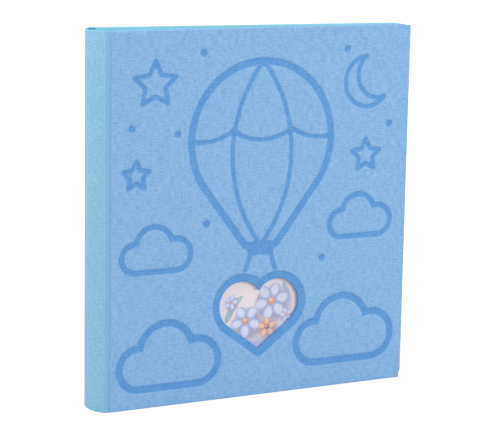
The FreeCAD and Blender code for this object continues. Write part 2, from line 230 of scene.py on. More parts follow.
def set_piece(piece: bpy.types.Object, slot: str, *nodes: str) -> None:
    """Hides the CAD nodes that a finished piece stands for, and logs its number of faces.

    Args:
        piece: The finished piece.
        slot: Not used.
        nodes: The CAD nodes.
    """
    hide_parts(*nodes)
    log.info("%s: %d faces", piece.name, len(piece.data.polygons))


def upright_grid(bm: bmesh.types.BMesh, low: Vector, high: Vector, columns: int,
                 rows: int) -> None:
    """Adds a flat grid that stands in the X and Z of a cover's frame and faces outwards.

    Args:
        bm: The mesh that takes it.
        low: Its lowest corner, whose depth it takes.
        high: Its highest corner.
        columns: Number of cells across.
        rows: Number of cells up.
    """
    middle = Vector(((low.x + high.x) / 2, low.y, (low.z + high.z) / 2))
    size = Matrix.Diagonal((high.x - low.x, high.z - low.z, 1, 1))
    upright = Matrix.Translation(middle) @ Matrix.Rotation(math.pi / 2, 4, "X") @ size
    bmesh.ops.create_grid(bm, x_segments=columns, y_segments=rows, size=0.5, matrix=upright)


def extrude_on(bm: bmesh.types.BMesh, edges: list[bmesh.types.BMEdge],
               ) -> tuple[set[bmesh.types.BMVert], list[bmesh.types.BMEdge]]:
    """Extrudes a row of edges by one more row of faces, which has no width yet.

    Args:
        bm: The mesh.
        edges: The row.

    Returns:
        The new row's vertices and its edges.
    """
    grown = bmesh.ops.extrude_edge_only(bm, edges=edges)["geom"]
    verts = {item for item in grown if isinstance(item, bmesh.types.BMVert)}
    found = (item for item in grown if isinstance(item, bmesh.types.BMEdge))
    return verts, [edge for edge in found if set(edge.verts) <= verts]


def turn_faces(bm: bmesh.types.BMesh, near: Vector, towards: Vector) -> None:
    """Turns every face of a sheet to the same side.

    Args:
        bm: The sheet.
        near: A place by which its side is judged.
        towards: The direction in which the face nearest to that place looks.
    """
    bmesh.ops.recalc_face_normals(bm, faces=bm.faces)
    probe = min(bm.faces, key=lambda face: (face.calc_center_median() - near).length)
    if probe.normal.dot(towards) < 0:
        bmesh.ops.reverse_faces(bm, faces=bm.faces)


def add_cloth_layers(bm: bmesh.types.BMesh) -> tuple[bmesh.types.BMLayerItem, ...]:
    """Adds the layers that a BookCloth reads.

    Args:
        bm: The cloth's mesh.

    Returns:
        The layers of the place on the flat cloth, of what is pressed and of what is turned in.
    """
    layers = bm.verts.layers
    layers.float_vector.new(CLOTH_LAYER)
    layers.float.new(PRESSED_LAYER)
    layers.float.new(TURNED_IN_LIGHT_AND_SHADE_LAYER)
    return layers.float_vector[CLOTH_LAYER], layers.float[PRESSED_LAYER], layers.float[TURNED_IN_LIGHT_AND_SHADE_LAYER]


def smooth_step(share: np.ndarray) -> np.ndarray:
    """Eases a share from 0 to 1, flat at both ends."""
    share = np.clip(share, 0.0, 1.0)
    return share * share * (3 - 2 * share)


# ---------------------------------------------------------------- flat figures of the design

class Figure:
    """A flat figure on a cover, known by its distance field."""

    def distance(self, at: np.ndarray) -> np.ndarray:
        """Distance of each (across, up) point from the outline, negative inside."""
        raise NotImplementedError


@dataclass(frozen=True)
class Disc(Figure):
    """A round figure."""

    across: float
    up: float
    radius: float

    def distance(self, at: np.ndarray) -> np.ndarray:
        """Distance from the circle, negative inside."""
        return np.hypot(at[:, 0] - self.across, at[:, 1] - self.up) - self.radius


@dataclass(frozen=True)
class Outline(Figure):
    """A closed figure with straight sides."""

    corners: tuple[tuple[float, float], ...]

    def distance(self, at: np.ndarray) -> np.ndarray:
        """Finds how far each place is from the nearest side.

        Args:
            at: Places as rows of across and up.

        Returns:
            The distance of each place, negative inside.
        """
        nearest = np.full(len(at), np.inf)
        inside = np.zeros(len(at), bool)
        following = self.corners[1:] + self.corners[:1]
        for start, end in zip(self.corners, following):
            side = np.subtract(end, start)
            away = at - start
            share = np.clip(away @ side / (side @ side), 0, 1)
            nearest = np.minimum(nearest, np.linalg.norm(away - share[:, None] * side, axis=1))
            if start[1] != end[1]:
                reach = start[0] + side[0] * (at[:, 1] - start[1]) / side[1]
                between = (start[1] > at[:, 1]) != (end[1] > at[:, 1])
                inside ^= between & (at[:, 0] < reach)
        return np.where(inside, -nearest, nearest)


@dataclass(frozen=True)
class Joined(Figure):
    """Several figures as one."""

    figures: tuple[Figure, ...]

    def distance(self, at: np.ndarray) -> np.ndarray:
        """Distance from the joined outline, negative inside."""
        return reduce(np.minimum, (figure.distance(at) for figure in self.figures))


@dataclass(frozen=True)
class Within(Figure):
    """The part of one figure that lies within another."""

    figure: Figure
    bounds: Figure

    def distance(self, at: np.ndarray) -> np.ndarray:
        """Distance from the shared part, negative inside."""
        return np.maximum(self.figure.distance(at), self.bounds.distance(at))


@dataclass(frozen=True)
class Without(Figure):
    """One figure with another taken out of it."""

    figure: Figure
    hole: Figure

    def distance(self, at: np.ndarray) -> np.ndarray:
        """Distance from what is left, negative inside."""
        return np.maximum(self.figure.distance(at), -self.hole.distance(at))


@dataclass(frozen=True)
class Line(Figure):
    """A line of even width along a figure's outline."""

    figure: Figure
    width: float

    def distance(self, at: np.ndarray) -> np.ndarray:
        """Distance from the line's two edges, negative within the line."""
        return np.abs(self.figure.distance(at)) - self.width / 2


@dataclass(frozen=True)
class Heart(Figure):
    """A heart of two round lobes and two straight sides that meet at the tip."""

    across: float = 138.0 * MM
    lobe_up: float = 77.2 * MM
    radius: float = 20.2 * MM
    offset: float = 16.5 * MM
    side_angle: float = math.radians(53.2)

    def let_out(self, margin: float) -> "Heart":
        """The heart grown all round by a margin, with its tip and notch still sharp."""
        return Heart(self.across, self.lobe_up, self.radius + margin, self.offset, self.side_angle)

    @property
    def tip(self) -> tuple[float, float]:
        """The lowest point."""
        drop = (self.radius + self.offset * math.cos(self.side_angle)) / math.sin(self.side_angle)
        return self.across, self.lobe_up - drop

    @property
    def notch(self) -> tuple[float, float]:
        """The point between the lobes."""
        return self.across, self.lobe_up + math.sqrt(self.radius ** 2 - self.offset ** 2)

    def distance(self, at: np.ndarray) -> np.ndarray:
        """Finds how far each place is from the outline.

        Args:
            at: Places as rows of across and up.

        Returns:
            The distance of each place, negative inside.
        """
        reach = self.offset + self.radius * math.cos(self.side_angle)
        shoulder = self.lobe_up - self.radius * math.sin(self.side_angle)
        left = (self.across - reach, shoulder)
        right = (self.across + reach, shoulder)
        lobes = [Disc(self.across + turn * self.offset, self.lobe_up, self.radius) for turn in (-1, 1)]
        return Joined((*lobes, Outline((left, self.tip, right, self.notch)))).distance(at)


def star(across: float, up: float, radius: float, points: int = 5, waist: float = 0.48) -> Outline:
    """Makes a star with one point straight up.

    Args:
        across: Its middle's distance from the hinge line.
        up: Its middle's height.
        radius: Reach of its points.
        points: Their number.
        waist: Reach of its inner corners, as a share of its radius.

    Returns:
        The figure.
    """
    corners = []
    for number in range(2 * points):
        reach = radius * (waist if number % 2 else 1.0)
        turn = math.pi / 2 + math.pi * number / points
        corners.append((across + reach * math.cos(turn), up + reach * math.sin(turn)))
    return Outline(tuple(corners))


def cloud(across: float, base: float, width: float) -> Joined:
    """Makes a cloud of three puffs on a flat base.

    Args:
        across: Its middle's distance from the hinge line.
        base: Its base's height.
        width: Its width.

    Returns:
        The figure.
    """
    # Place across, height and radius of each puff, as shares of the width.
    puffs = ((-0.30, 0.19, 0.19), (-0.03, 0.33, 0.26), (0.28, 0.21, 0.21))
    filled_up_to = 0.30
    discs = [
        Disc(across + out * width, base + rise * width, reach * width) for out, rise, reach in puffs
    ]
    left, right = across + puffs[0][0] * width, across + puffs[2][0] * width
    top = base + filled_up_to * width
    return Joined((*discs, Outline(((left, base), (right, base), (right, top), (left, top)))))


def crescent(across: float, up: float, radius: float, steps: int = 24) -> Outline:
    """Makes a new moon with its back to the left, a little tilted.

    Args:
        across: Its middle's distance from the hinge line.
        up: Its middle's height.
        radius: Its outer radius.
        steps: Number of steps along each of its arcs.

    Returns:
        The figure.
    """
    half, turn = math.radians(115), math.radians(28)
    tip_out, tip_up = radius * math.cos(math.pi - half), radius * math.sin(math.pi - half)
    # The inner arc's middle is moved right by about half the radius.
    shift = 0.55 * radius
    inner = math.hypot(tip_out - shift, tip_up)
    inner_half = math.pi - math.atan2(tip_up, tip_out - shift)
    corners = []
    for middle, reach, spread in ((0.0, radius, half), (shift, inner, -inner_half)):
        for number in range(steps):
            angle = math.pi - spread + 2 * spread * number / steps
            out, rise = middle + reach * math.cos(angle), reach * math.sin(angle)
            corners.append((
                across + out * math.cos(turn) - rise * math.sin(turn),
                up + out * math.sin(turn) + rise * math.cos(turn),
            ))
    return Outline(tuple(corners))


@dataclass
class PressedDesign:
    """The lines that are heat-pressed into the front cover's cloth.

    A hot-air balloon carries the heart-shaped window as its basket, between clouds, stars and a
    crescent moon.
    """

    window: Heart
    band_width: float = 7.0 * MM
    main_line: float = 6.9 * MM
    fine_line: float = 4.6 * MM
    balloon_up: float = 214.0 * MM
    balloon_radius: float = 64.0 * MM
    neck_up: float = 127.0 * MM
    neck_half_width: float = 14.0 * MM
    shoulder_turn: float = math.radians(38)
    panel_half_width: float = 27.0 * MM
    swag_radius: float = 48.0 * MM
    skirt_drop: float = 9.0 * MM
    skirt_taper: float = 0.8
    rope_spread: float = 0.7
    rope_width: float = 5.0 * MM
    small_cloud_extra: float = 1.0 * MM
    dot_radius: float = 3.6 * MM

    def envelope(self) -> Figure:
        """Draws the balloon's outline.

        Returns:
            A round top that runs straight down to its neck.
        """
        middle = self.window.across
        out = self.balloon_radius * math.cos(self.shoulder_turn)
        shoulder = self.balloon_up - self.balloon_radius * math.sin(self.shoulder_turn)
        cone = Outline((
            (middle - out, shoulder),
            (middle - self.neck_half_width, self.neck_up),
            (middle + self.neck_half_width, self.neck_up),
            (middle + out, shoulder),
        ))
        return Joined((Disc(middle, self.balloon_up, self.balloon_radius), cone))

    def panel(self) -> Figure:
        """Draws the balloon's middle panel.

        Returns:
            A tall figure between two shallow arcs.
        """
        top = self.balloon_up + self.balloon_radius
        half_height = (top - self.neck_up) / 2
        half_width = self.panel_half_width
        radius = (half_height ** 2 + half_width ** 2) / (2 * half_width)
        up = top - half_height
        shift = radius - half_width
        return Within(
            Disc(self.window.across - shift, up, radius), Disc(self.window.across + shift, up, radius)
        )

    def balloon(self) -> list[Figure]:
        """Draws the whole balloon.

        Returns:
            Its outline, panel seams, swags, skirt and ropes.
        """
        middle, envelope, panel = self.window.across, self.envelope(), self.panel()
        swag_up = self.balloon_up + self.swag_radius
        sides = Without(envelope, panel)
        figures = [Line(envelope, self.main_line), Within(Line(panel, self.fine_line), envelope)]
        for number, bounds in ((-1, sides), (0, panel), (1, sides)):
            across = middle + 2 * number * self.panel_half_width
            swag = Line(Disc(across, swag_up, self.swag_radius), self.fine_line)
            below = Disc(across, swag_up - self.swag_radius, self.swag_radius)
            figures.append(Within(Within(swag, below), bounds))
        half = self.neck_half_width
        low = self.neck_up - self.skirt_drop
        figures.append(Outline((
            (middle - half, self.neck_up),
            (middle - self.skirt_taper * half, low),
            (middle + self.skirt_taper * half, low),
            (middle + half, self.neck_up),
        )))
        for turn in (-1, 1):
            start = (middle + turn * self.rope_spread * half, low)
            end = (middle + turn * self.window.offset, self.window.lobe_up + self.window.radius)
            figures.append(Line(Outline((start, end)), self.rope_width))
        return figures

    def sky(self) -> list[Figure]:
        """Draws what is round the balloon.

        Returns:
            Clouds, stars, dots and the moon.
        """
        # Place across, height and width or radius of each, in mm.
        clouds = (
            (56, 16, 90, self.main_line),
            (219, 22, 94, self.main_line),
            (44, 112, 62, self.fine_line + self.small_cloud_extra),
            (232, 128, 60, self.fine_line + self.small_cloud_extra),
        )
        stars = ((42, 262, 19), (236, 196, 14), (26, 190, 12))
        moon = (236, 258, 21)
        dots = ((62, 222), (22, 228), (216, 286), (258, 222), (84, 286), (196, 112), (88, 148))
        figures = [
            Line(cloud(across * MM, base * MM, width * MM), line) for across, base, width, line in clouds
        ]
        figures += [
            Line(star(across * MM, up * MM, radius * MM), self.fine_line) for across, up, radius in stars
        ]
        figures += [Disc(across * MM, up * MM, self.dot_radius) for across, up in dots]
        figures.append(Line(crescent(*(size * MM for size in moon)), self.fine_line))
        return figures

    def figure(self) -> Figure:
        """Draws the whole design.

        Returns:
            Everything that is pressed, with the plain band that frames the window.
        """
        band = self.window.let_out(self.band_width)
        clear = Without(Joined((*self.balloon(), *self.sky())), band)
        return Joined((clear, band))


# ---------------------------------------------------------------- finishes

@dataclass(frozen=True)
class BookCloth:
    """Starched book linen: plain-woven, dyed and glued down, with slubs along its threads.

    The real threads are about 0.4 mm apart.  They are drawn at thread_mm, coarser than that, so
    that the weave still shows from across a table.
    """

    name: str
    raised: str
    sunk: str
    # Colour of the pressed lines; on the spine's cloth it is painted shade of the joint grooves.
    pressed: str
    # Colour of the turned-in cloth: painted light on the covers, painted shade in the hollow spine.
    turned: str
    thread_mm: float = 1.3
    slub_mm: float = 5.0
    patch_mm: float = 14.0
    warp_share: float = 0.38
    warp_slub: float = 0.6
    patch_share: float = 0.10
    tones: tuple[float, float] = (0.405, 0.595)
    scorch: tuple[float, float] = (0.97, 0.68)
    # From the plain cloth to the pressed lines.
    relief: tuple[float, float] = (0.30, 0.08)
    roughness: tuple[float, float] = (0.82, 0.62)

    def make(self) -> bpy.types.Material:
        """Builds the material.

        Returns:
            The material.
        """
        material, tree = new_material(self.name)
        place = add_node(tree, "Attribute", {"attribute_name": CLOTH_LAYER})
        pressed = add_node(tree, "Attribute", {"attribute_name": PRESSED_LAYER})
        turned = add_node(tree, "Attribute", {"attribute_name": TURNED_IN_LIGHT_AND_SHADE_LAYER})
        thread, slub = 1 / (self.thread_mm * MM), 1 / (self.slub_mm * MM)

        # Slubs: thick places that run along the weft, and fewer along the warp.
        runs = []
        for scale in ((slub, thread, 1), (thread, self.warp_slub * slub, 1)):
            run = add_node(tree, "Mapping", inputs={
                "Vector": place.outputs["Vector"], "Scale": scale})
            runs.append(add_node(tree, "TexNoise", inputs={
                "Vector": run.outputs[0], "Scale": 1.0, "Detail": 2.5, "Roughness": 0.7}))
        weave = add_node(tree, "Mix", FLOAT, {
            0: self.warp_share, 2: runs[0].outputs["Fac"], 3: runs[1].outputs["Fac"]})
        patch = add_node(tree, "TexNoise", inputs={
            "Vector": place.outputs["Vector"], "Scale": 1 / (self.patch_mm * MM), "Detail": 3.0})
        tone = add_node(tree, "Mix", FLOAT, {
            0: self.patch_share, 2: weave.outputs[0], 3: patch.outputs["Fac"]})
        spread = add_node(tree, "MapRange", inputs={
            "Value": tone.outputs[0], "From Min": self.tones[0],
            "From Max": self.tones[1]})
        cloth = add_node(tree, "Mix", RGBA, {
            0: spread.outputs[0], 6: linear(self.sunk), 7: linear(self.raised)})

        # The turned-in cloth takes a colour of its own: painted light on the covers, painted shade
        # in the hollow spine. The pressed lines are flattened and darkened by the hot die, with the weave
        # showing faintly through; on the joints the pressed colour is painted shade of the grooves.
        inside = add_node(tree, "Mix", RGBA, {
            0: turned.outputs["Fac"], 6: cloth.outputs[2], 7: linear(self.turned)})
        scorch = add_node(tree, "MapRange", inputs={
            "Value": spread.outputs[0], "To Min": self.scorch[0],
            "To Max": self.scorch[1]})
        burnt = add_node(tree, "Mix", RGBA, {
            0: scorch.outputs[0], 6: cloth.outputs[2], 7: linear(self.pressed)})
        colour = add_node(tree, "Mix", RGBA, {
            0: pressed.outputs["Fac"], 6: inside.outputs[2], 7: burnt.outputs[2]})

        # Height of the threads: two crossed sets of ridges with the slubs on them.
        ridges = []
        for direction in ("X", "Y"):
            ridges.append(add_node(tree, "TexWave", {
                **BANDS, "bands_direction": direction}, {
                "Vector": place.outputs["Vector"], "Scale": WAVE_SCALE * thread, "Distortion": 1.2,
                "Detail": 1.0, "Detail Scale": 2.0}))
        crossed = add_node(tree, "Math", {"operation": "MULTIPLY"}, {
            0: ridges[0].outputs["Fac"], 1: ridges[1].outputs["Fac"]})
        height = add_node(tree, "Math", {"operation": "ADD"}, {
            0: crossed.outputs[0], 1: weave.outputs[0]})
        flat = add_node(tree, "MapRange", inputs={
            "Value": pressed.outputs["Fac"], "To Min": self.relief[0],
            "To Max": self.relief[1]})
        bump = add_node(tree, "Bump", inputs={
            "Strength": flat.outputs[0], "Distance": 0.15 * MM, "Height": height.outputs[0]})
        rough = add_node(tree, "MapRange", inputs={
            "Value": pressed.outputs["Fac"], "To Min": self.roughness[0],
            "To Max": self.roughness[1]})
        surface = add_node(tree, "BsdfPrincipled", inputs={
            "Base Color": colour.outputs[2], "Roughness": rough.outputs[0],
            "Normal": bump.outputs[0], "Specular IOR Level": 0.22, "Sheen Weight": 0.06,
            "Sheen Roughness": 0.5})
        finish_material(tree, surface)
        return material


@dataclass(frozen=True)
class Card:
    """Uncoated paper or card: pressed pulp, matt, with short fibres and faint clouding."""

    name: str
    light: str
    dark: str
    fibre_mm: float = 0.8
    cloud_mm: float = 9.0
    roughness: float = 0.85
    bump: float = 0.12
    tinted: bool = False
    tint: str = "#C9C4B8"

    def make(self) -> bpy.types.Material:
        """Builds the material.

        Returns:
            The material.
        """
        material, tree = new_material(self.name)
        place = add_node(tree, "TexCoord")
        fibre = add_node(tree, "TexNoise", inputs={
            "Vector": place.outputs["Object"], "Scale": 1 / (self.fibre_mm * MM), "Detail": 4.0,
            "Roughness": 0.7})
        clouding = add_node(tree, "TexNoise", inputs={
            "Vector": place.outputs["Object"], "Scale": 1 / (self.cloud_mm * MM), "Detail": 2.0})
        mixed = add_node(tree, "Mix", FLOAT, {
            0: 0.5, 2: fibre.outputs["Fac"], 3: clouding.outputs["Fac"]})
        spread = add_node(tree, "MapRange", inputs={
            "Value": mixed.outputs[0], "From Min": 0.35, "From Max": 0.65})
        colour = add_node(tree, "Mix", RGBA, {
            0: spread.outputs[0], 6: linear(self.dark), 7: linear(self.light)})
        if self.tinted:
            share = add_node(tree, "Attribute", {"attribute_name": TINT_LAYER})
            colour = add_node(tree, "Mix", RGBA, {
                0: share.outputs["Fac"], 6: colour.outputs[2], 7: linear(self.tint)})
        bump = add_node(tree, "Bump", inputs={
            "Strength": self.bump, "Distance": 0.05 * MM, "Height": fibre.outputs["Fac"]})
        surface = add_node(tree, "BsdfPrincipled", inputs={
            "Base Color": colour.outputs[2], "Roughness": self.roughness,
            "Normal": bump.outputs[0], "Specular IOR Level": 0.3})
        finish_material(tree, surface)
        return material


@dataclass(frozen=True)
class Banded:
    """A textile seen as bands of two colours: an open-weave gauze or a striped headband."""

    name: str
    light: str
    dark: str
    band_mm: float
    crossed: bool

    def make(self) -> bpy.types.Material:
        """Builds the material.

        Returns:
            The material.
        """
        material, tree = new_material(self.name)
        place = add_node(tree, "TexCoord")
        bands = []
        for direction in ("Y", "Z") if self.crossed else ("Y",):
            bands.append(add_node(tree, "TexWave", {
                **BANDS, "bands_direction": direction}, {
                "Vector": place.outputs["Object"], "Scale": WAVE_SCALE / (self.band_mm * MM),
                "Distortion": 0.6, "Detail": 1.0}))
        threads = add_node(tree, "Math", {"operation": "MAXIMUM"}, {
            0: bands[0].outputs["Fac"], 1: bands[-1].outputs["Fac"]})
        edge = add_node(tree, "MapRange", SMOOTH, {
            "Value": threads.outputs[0], "From Min": 0.35, "From Max": 0.65})
        colour = add_node(tree, "Mix", RGBA, {
            0: edge.outputs[0], 6: linear(self.dark), 7: linear(self.light)})
        bump = add_node(tree, "Bump", inputs={
            "Strength": 0.4, "Distance": 0.15 * MM, "Height": threads.outputs[0]})
        surface = add_node(tree, "BsdfPrincipled", inputs={
            "Base Color": colour.outputs[2], "Roughness": 0.8, "Normal": bump.outputs[0],
            "Specular IOR Level": 0.2, "Sheen Weight": 0.1})
        finish_material(tree, surface)
        return material


@dataclass(frozen=True)
class Spot:
    """A soft-edged oval of colour in the print, placed in mm from the window's middle."""

    across: float
    up: float
    wide: float
    tall: float
    colour: str
    turn: float = 0.0
    soft: float = 0.12


@dataclass(frozen=True)
class Flower:
    """A simple open flower in the print, placed in mm from the window's middle."""

    across: float
    up: float
    radius: float
    petals: int = 6
    turn: float = 0.0
    edge: str = "#A9B1D3"
    inner: str = "#D8DBEC"
    heart: str = "#DDA48F"
    shadow: str = "#B0ABC2"
    glint: str = "#F0CDBE"

    def oval(self, across: float, up: float, wide: float, tall: float, colour: str, soft: float,
             turn: float = 0.0) -> Spot:
        """Makes one oval of the flower, with its place and size as shares of the radius.

        Args:
            across: Its middle's place across.
            up: Its middle's place upwards.
            wide: Half its width.
            tall: Half its height.
            colour: Its colour.
            soft: How soft its edge is.
            turn: How far it is turned, in degrees.

        Returns:
            The oval.
        """
        size = self.radius
        return Spot(self.across + across * size, self.up + up * size, wide * size, tall * size,
                    colour, turn, soft)

    def spots(self) -> list[Spot]:
        """Draws the flower.

        Returns:
            Its ovals, from the lowest to the highest.
        """
        spots = [self.oval(0.15, -0.22, 1.0, 0.95, self.shadow, 0.35)]
        for number in range(self.petals):
            angle = self.turn + 360 * number / self.petals
            cos, sin = math.cos(math.radians(angle)), math.sin(math.radians(angle))
            spots.append(self.oval(0.60 * cos, 0.60 * sin, 0.42, 0.34, self.edge, 0.07, angle))
            spots.append(self.oval(0.66 * cos, 0.66 * sin, 0.34, 0.24, self.inner, 0.35, angle))
        spots.append(self.oval(0.0, 0.0, 0.22, 0.20, self.heart, 0.15))
        spots.append(self.oval(-0.05, 0.06, 0.11, 0.09, self.glint, 0.4))
        return spots


@dataclass(frozen=True)
class PhotoPrint:
    """Satin resin-coated photo paper with a generic picture: pale flowers on folded linen."""

    name: str = "photo_print_satin"
    backdrop: str = "#EFE4E6"
    corner: str = "#DCD2DA"
    corner_from_mm: float = 18.0
    corner_to_mm: float = 62.0
    grain_mm: float = 0.7
    grain_share: float = 0.06
    ground: tuple[Spot, ...] = (
        Spot(0, -34, 60, 20, "#E3DCE3", turn=14, soft=0.25),
        Spot(-18, -21, 30, 4, "#B9C0DB", turn=20, soft=0.60),
        Spot(14, -24, 34, 4, "#BCC3DE", turn=8, soft=0.60),
        Spot(-25, 3, 3.0, 10, "#A9BDC9", turn=-28, soft=0.12),
        Spot(-21, 10, 2.6, 8.5, "#B7CAD3", turn=-52, soft=0.12),
        Spot(27, 16, 2.6, 9, "#AFC2CE", turn=22, soft=0.12),
        Spot(2, 6, 2.4, 9, "#A6BAC7", turn=12, soft=0.12),
    )
    flowers: tuple[Flower, ...] = (
        Flower(13, 9, 15.5, turn=12),
        Flower(-11, -6, 13.5, petals=5, turn=50, edge="#ADB5DA", inner="#DADFF3"),
        Flower(9, -13, 8.5, petals=5, turn=20, edge="#D3A08D", inner="#E9C4B6", heart="#7E7090"),
        Flower(-25, 11, 6.0, petals=5, turn=0, edge="#B3BBDF", inner="#D5DBF1"),
        Flower(27, -4, 5.5, petals=5, turn=33, edge="#AEB8DD", inner="#D5DBF1"),
    )

    def make(self) -> bpy.types.Material:
        """Builds the material.

        Returns:
            The material.
        """
        material, tree = new_material(self.name)
        place = add_node(tree, "Attribute", {"attribute_name": PRINT_LAYER})
        shade = add_node(tree, "VectorMath", LENGTH, {
            0: place.outputs["Vector"]})
        fall = add_node(tree, "MapRange", SMOOTH, {
            "Value": shade.outputs["Value"], "From Min": self.corner_from_mm * MM,
            "From Max": self.corner_to_mm * MM})
        picture = add_node(tree, "Mix", RGBA, {
            0: fall.outputs[0], 6: linear(self.backdrop), 7: linear(self.corner)})
        painted = [spot for flower in self.flowers for spot in flower.spots()]
        for spot in (*self.ground, *painted):
            mask = self.mask(tree, place, spot)
            picture = add_node(tree, "Mix", RGBA, {
                0: mask.outputs[0], 6: picture.outputs[2], 7: linear(spot.colour)})
        grain = add_node(tree, "TexNoise", inputs={
            "Vector": place.outputs["Vector"], "Scale": 1 / (self.grain_mm * MM), "Detail": 1.0})
        grained = add_node(tree, "Mix", {"data_type": "RGBA", "blend_type": "OVERLAY"}, {
            0: self.grain_share, 6: picture.outputs[2], 7: grain.outputs["Color"]})
        surface = add_node(tree, "BsdfPrincipled", inputs={
            "Base Color": grained.outputs[2], "Roughness": 0.42, "Specular IOR Level": 0.35})
        finish_material(tree, surface)
        return material

    def mask(self, tree: bpy.types.NodeTree, place: bpy.types.Node, spot: Spot) -> bpy.types.Node:
        """Adds the nodes that say how much of a spot covers each place.

        Args:
            tree: The material's node tree.
            place: The node that gives the place on the print.
            spot: The oval.

        Returns:
            The node whose first output is 1 within the oval and 0 outside it.
        """
        oval = add_node(tree, "Mapping", {"vector_type": "TEXTURE"}, {
            "Vector": place.outputs["Vector"],
            "Location": (spot.across * MM, spot.up * MM, 0),
            "Rotation": (0, 0, math.radians(spot.turn)),
            "Scale": (spot.wide * MM, spot.tall * MM, 1)})
        reach = add_node(tree, "VectorMath", LENGTH, {
            0: oval.outputs[0]})
        return add_node(tree, "MapRange", SMOOTH, {
            "Value": reach.outputs["Value"], "From Min": 1 + spot.soft, "From Max": 1 - spot.soft})


@dataclass
class Finishes:
    """Every finish of the album, made once."""

    # Blue linen of the two covers: dyed a little lighter than its pressed lines. Its paler, greener
    # turned-in colour is painted light on the cloth turned in behind the boards and round the window.
    cover: bpy.types.Material = field(default_factory=BookCloth(
        "blue_book_linen", "#97C2EC", "#7BAEDF", "#5396D6", "#8ACDE6").make)
    # Paler, greener linen of the spine. On the two joints its pressed colour is painted groove shade, with a
    # hue between the spine's and the covers'; its dark turned-in colour is painted shade in the hollow.
    spine: bpy.types.Material = field(default_factory=BookCloth(
        "pale_teal_book_linen", "#9BCFEA", "#86BCDF", "#82B6DF", "#58A6D8").make)
    # Grey recycled-pulp board that stiffens the covers.
    greyboard: bpy.types.Material = field(default_factory=Card(
        "greyboard_recycled_pulp", "#A8A399", "#8B867C", fibre_mm=1.4, bump=0.3).make)
    # Curved strip in the hollow spine, coloured dark blue as painted shade of the hollow, so that no grey
    # shows at the head.
    spine_card: bpy.types.Material = field(default_factory=Card(
        "spine_card_painted_hollow_shade", "#5C9FD4", "#4B8FC8").make)
    # Starched cotton gauze over the back of the book block.
    mull: bpy.types.Material = field(default_factory=Banded(
        "starched_cotton_mull", "#E4DECF", "#B9B3A6", 1.3, True).make)
    # Woven two-colour tape rolled over a cord at the head and the tail.
    headband: bpy.types.Material = field(default_factory=Banded(
        "woven_striped_headband", "#A9D2EE", "#5D9DD3", 1.8, False).make)
    # White scrapbook card of the leaves and guards.
    page: bpy.types.Material = field(default_factory=Card(
        "white_page_card", "#E8E5DD", "#DDDAD2", tinted=True).make)
    # Smoother white paper over the turn-ins, and of the flyleaves.
    endpaper: bpy.types.Material = field(default_factory=Card(
        "white_endpaper", "#E3E7ED", "#DBE0E7", roughness=0.75).make)
    # Thin white paper of the photo pocket.
    pocket: bpy.types.Material = field(default_factory=Card(
        "thin_pocket_paper", "#EFEDE8", "#E4E2DC", fibre_mm=1.2).make)
    # Uncoated back of the photo paper.
    photo_back: bpy.types.Material = field(default_factory=Card(
        "photo_paper_back", "#E9E9EA", "#E0E0E3", roughness=0.6).make)
    # Satin front of the photo paper.
    photo_front: bpy.types.Material = field(default_factory=PhotoPrint().make)


# ---------------------------------------------------------------- covers

@dataclass(frozen=True)
class CoverFrame:
    """The frame of one cover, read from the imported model."""

    side: Side
    hinge: Vector
    lean: float

    @classmethod
    def of(cls, side: Side) -> "CoverFrame":
        """Reads the frame of a cover from its joint and its board.

        Args:
            side: The cover.

        Returns:
            Its frame.
        """
        name = side.value + "_cover_hinge"
        joint = next(joint for joint in frame["joints"] if joint["name"] == name)
        hinge = Vector((joint["pos_m"][0], joint["pos_m"][1], 0))
        corners = [vert.co for vert in frame["nodes"][side.value + "_board"].data.vertices]
        near = min(corners, key=lambda corner: corner.y * side.sign)
        far = max(corners, key=lambda corner: corner.x)
        lean = math.atan2((far.y - near.y) * side.sign, far.x - near.x)
        return cls(side, hinge, lean)

    @property
    def matrix(self) -> Matrix:
        """Works out the way from the cover's frame to the row frame.

        Returns:
            The matrix that moves a place from the one to the other.
        """
        cos, sin, sign = math.cos(self.lean), math.sin(self.lean), self.side.sign
        return Matrix((
            (cos, -sin, 0, self.hinge.x),
            (sign * sin, sign * cos, 0, self.hinge.y),
            (0, 0, 1, 0),
            (0, 0, 0, 1),
        ))

    def box(self, node: str) -> tuple[Vector, Vector]:
        """Measures a CAD node along the cover's own axes.

        Args:
            node: The node's name.

        Returns:
            Its lowest and its highest corner.
        """
        back = self.matrix.inverted()
        corners = [back @ vert.co for vert in frame["nodes"][node].data.vertices]
        low = Vector([min(corner[i] for corner in corners) for i in range(3)])
        high = Vector([max(corner[i] for corner in corners) for i in range(3)])
        return low, high

    def set_in(self, bm: bmesh.types.BMesh) -> None:
        """Moves a mesh from the cover's frame to the row frame, its faces still outwards.

        Args:
            bm: The mesh.
        """
        bmesh.ops.transform(bm, matrix=self.matrix, verts=bm.verts)
        if self.side is Side.BACK:
            bmesh.ops.reverse_faces(bm, faces=bm.faces)


def fold_steps(roll: float, wall: float, flap: float, turns: int = 4, laps: int = 3) -> Pairs:
    """Steps of a cloth that rolls over an edge, goes down it and turns in behind it.

    Args:
        roll: Radius of the two rounded corners.
        wall: Height of the edge with both corners.
        flap: Width of the turn-in behind, with its corner.
        turns: Number of steps round each corner.
        laps: Number of steps along the turn-in.

    Returns:
        Pairs of how far each step goes outwards and how far it goes inwards into the album.
    """
    angles = [math.pi / 2 * turn / turns for turn in range(turns + 1)]
    over = [(roll * math.sin(angle), roll * (1 - math.cos(angle))) for angle in angles]
    under = [(roll * math.cos(angle), wall - roll + roll * math.sin(angle)) for angle in angles]
    path = over + under
    path += [((roll - flap) * lap / laps, wall) for lap in range(1, laps + 1)]
    return [(b[0] - a[0], b[1] - a[1]) for a, b in zip(path, path[1:])]


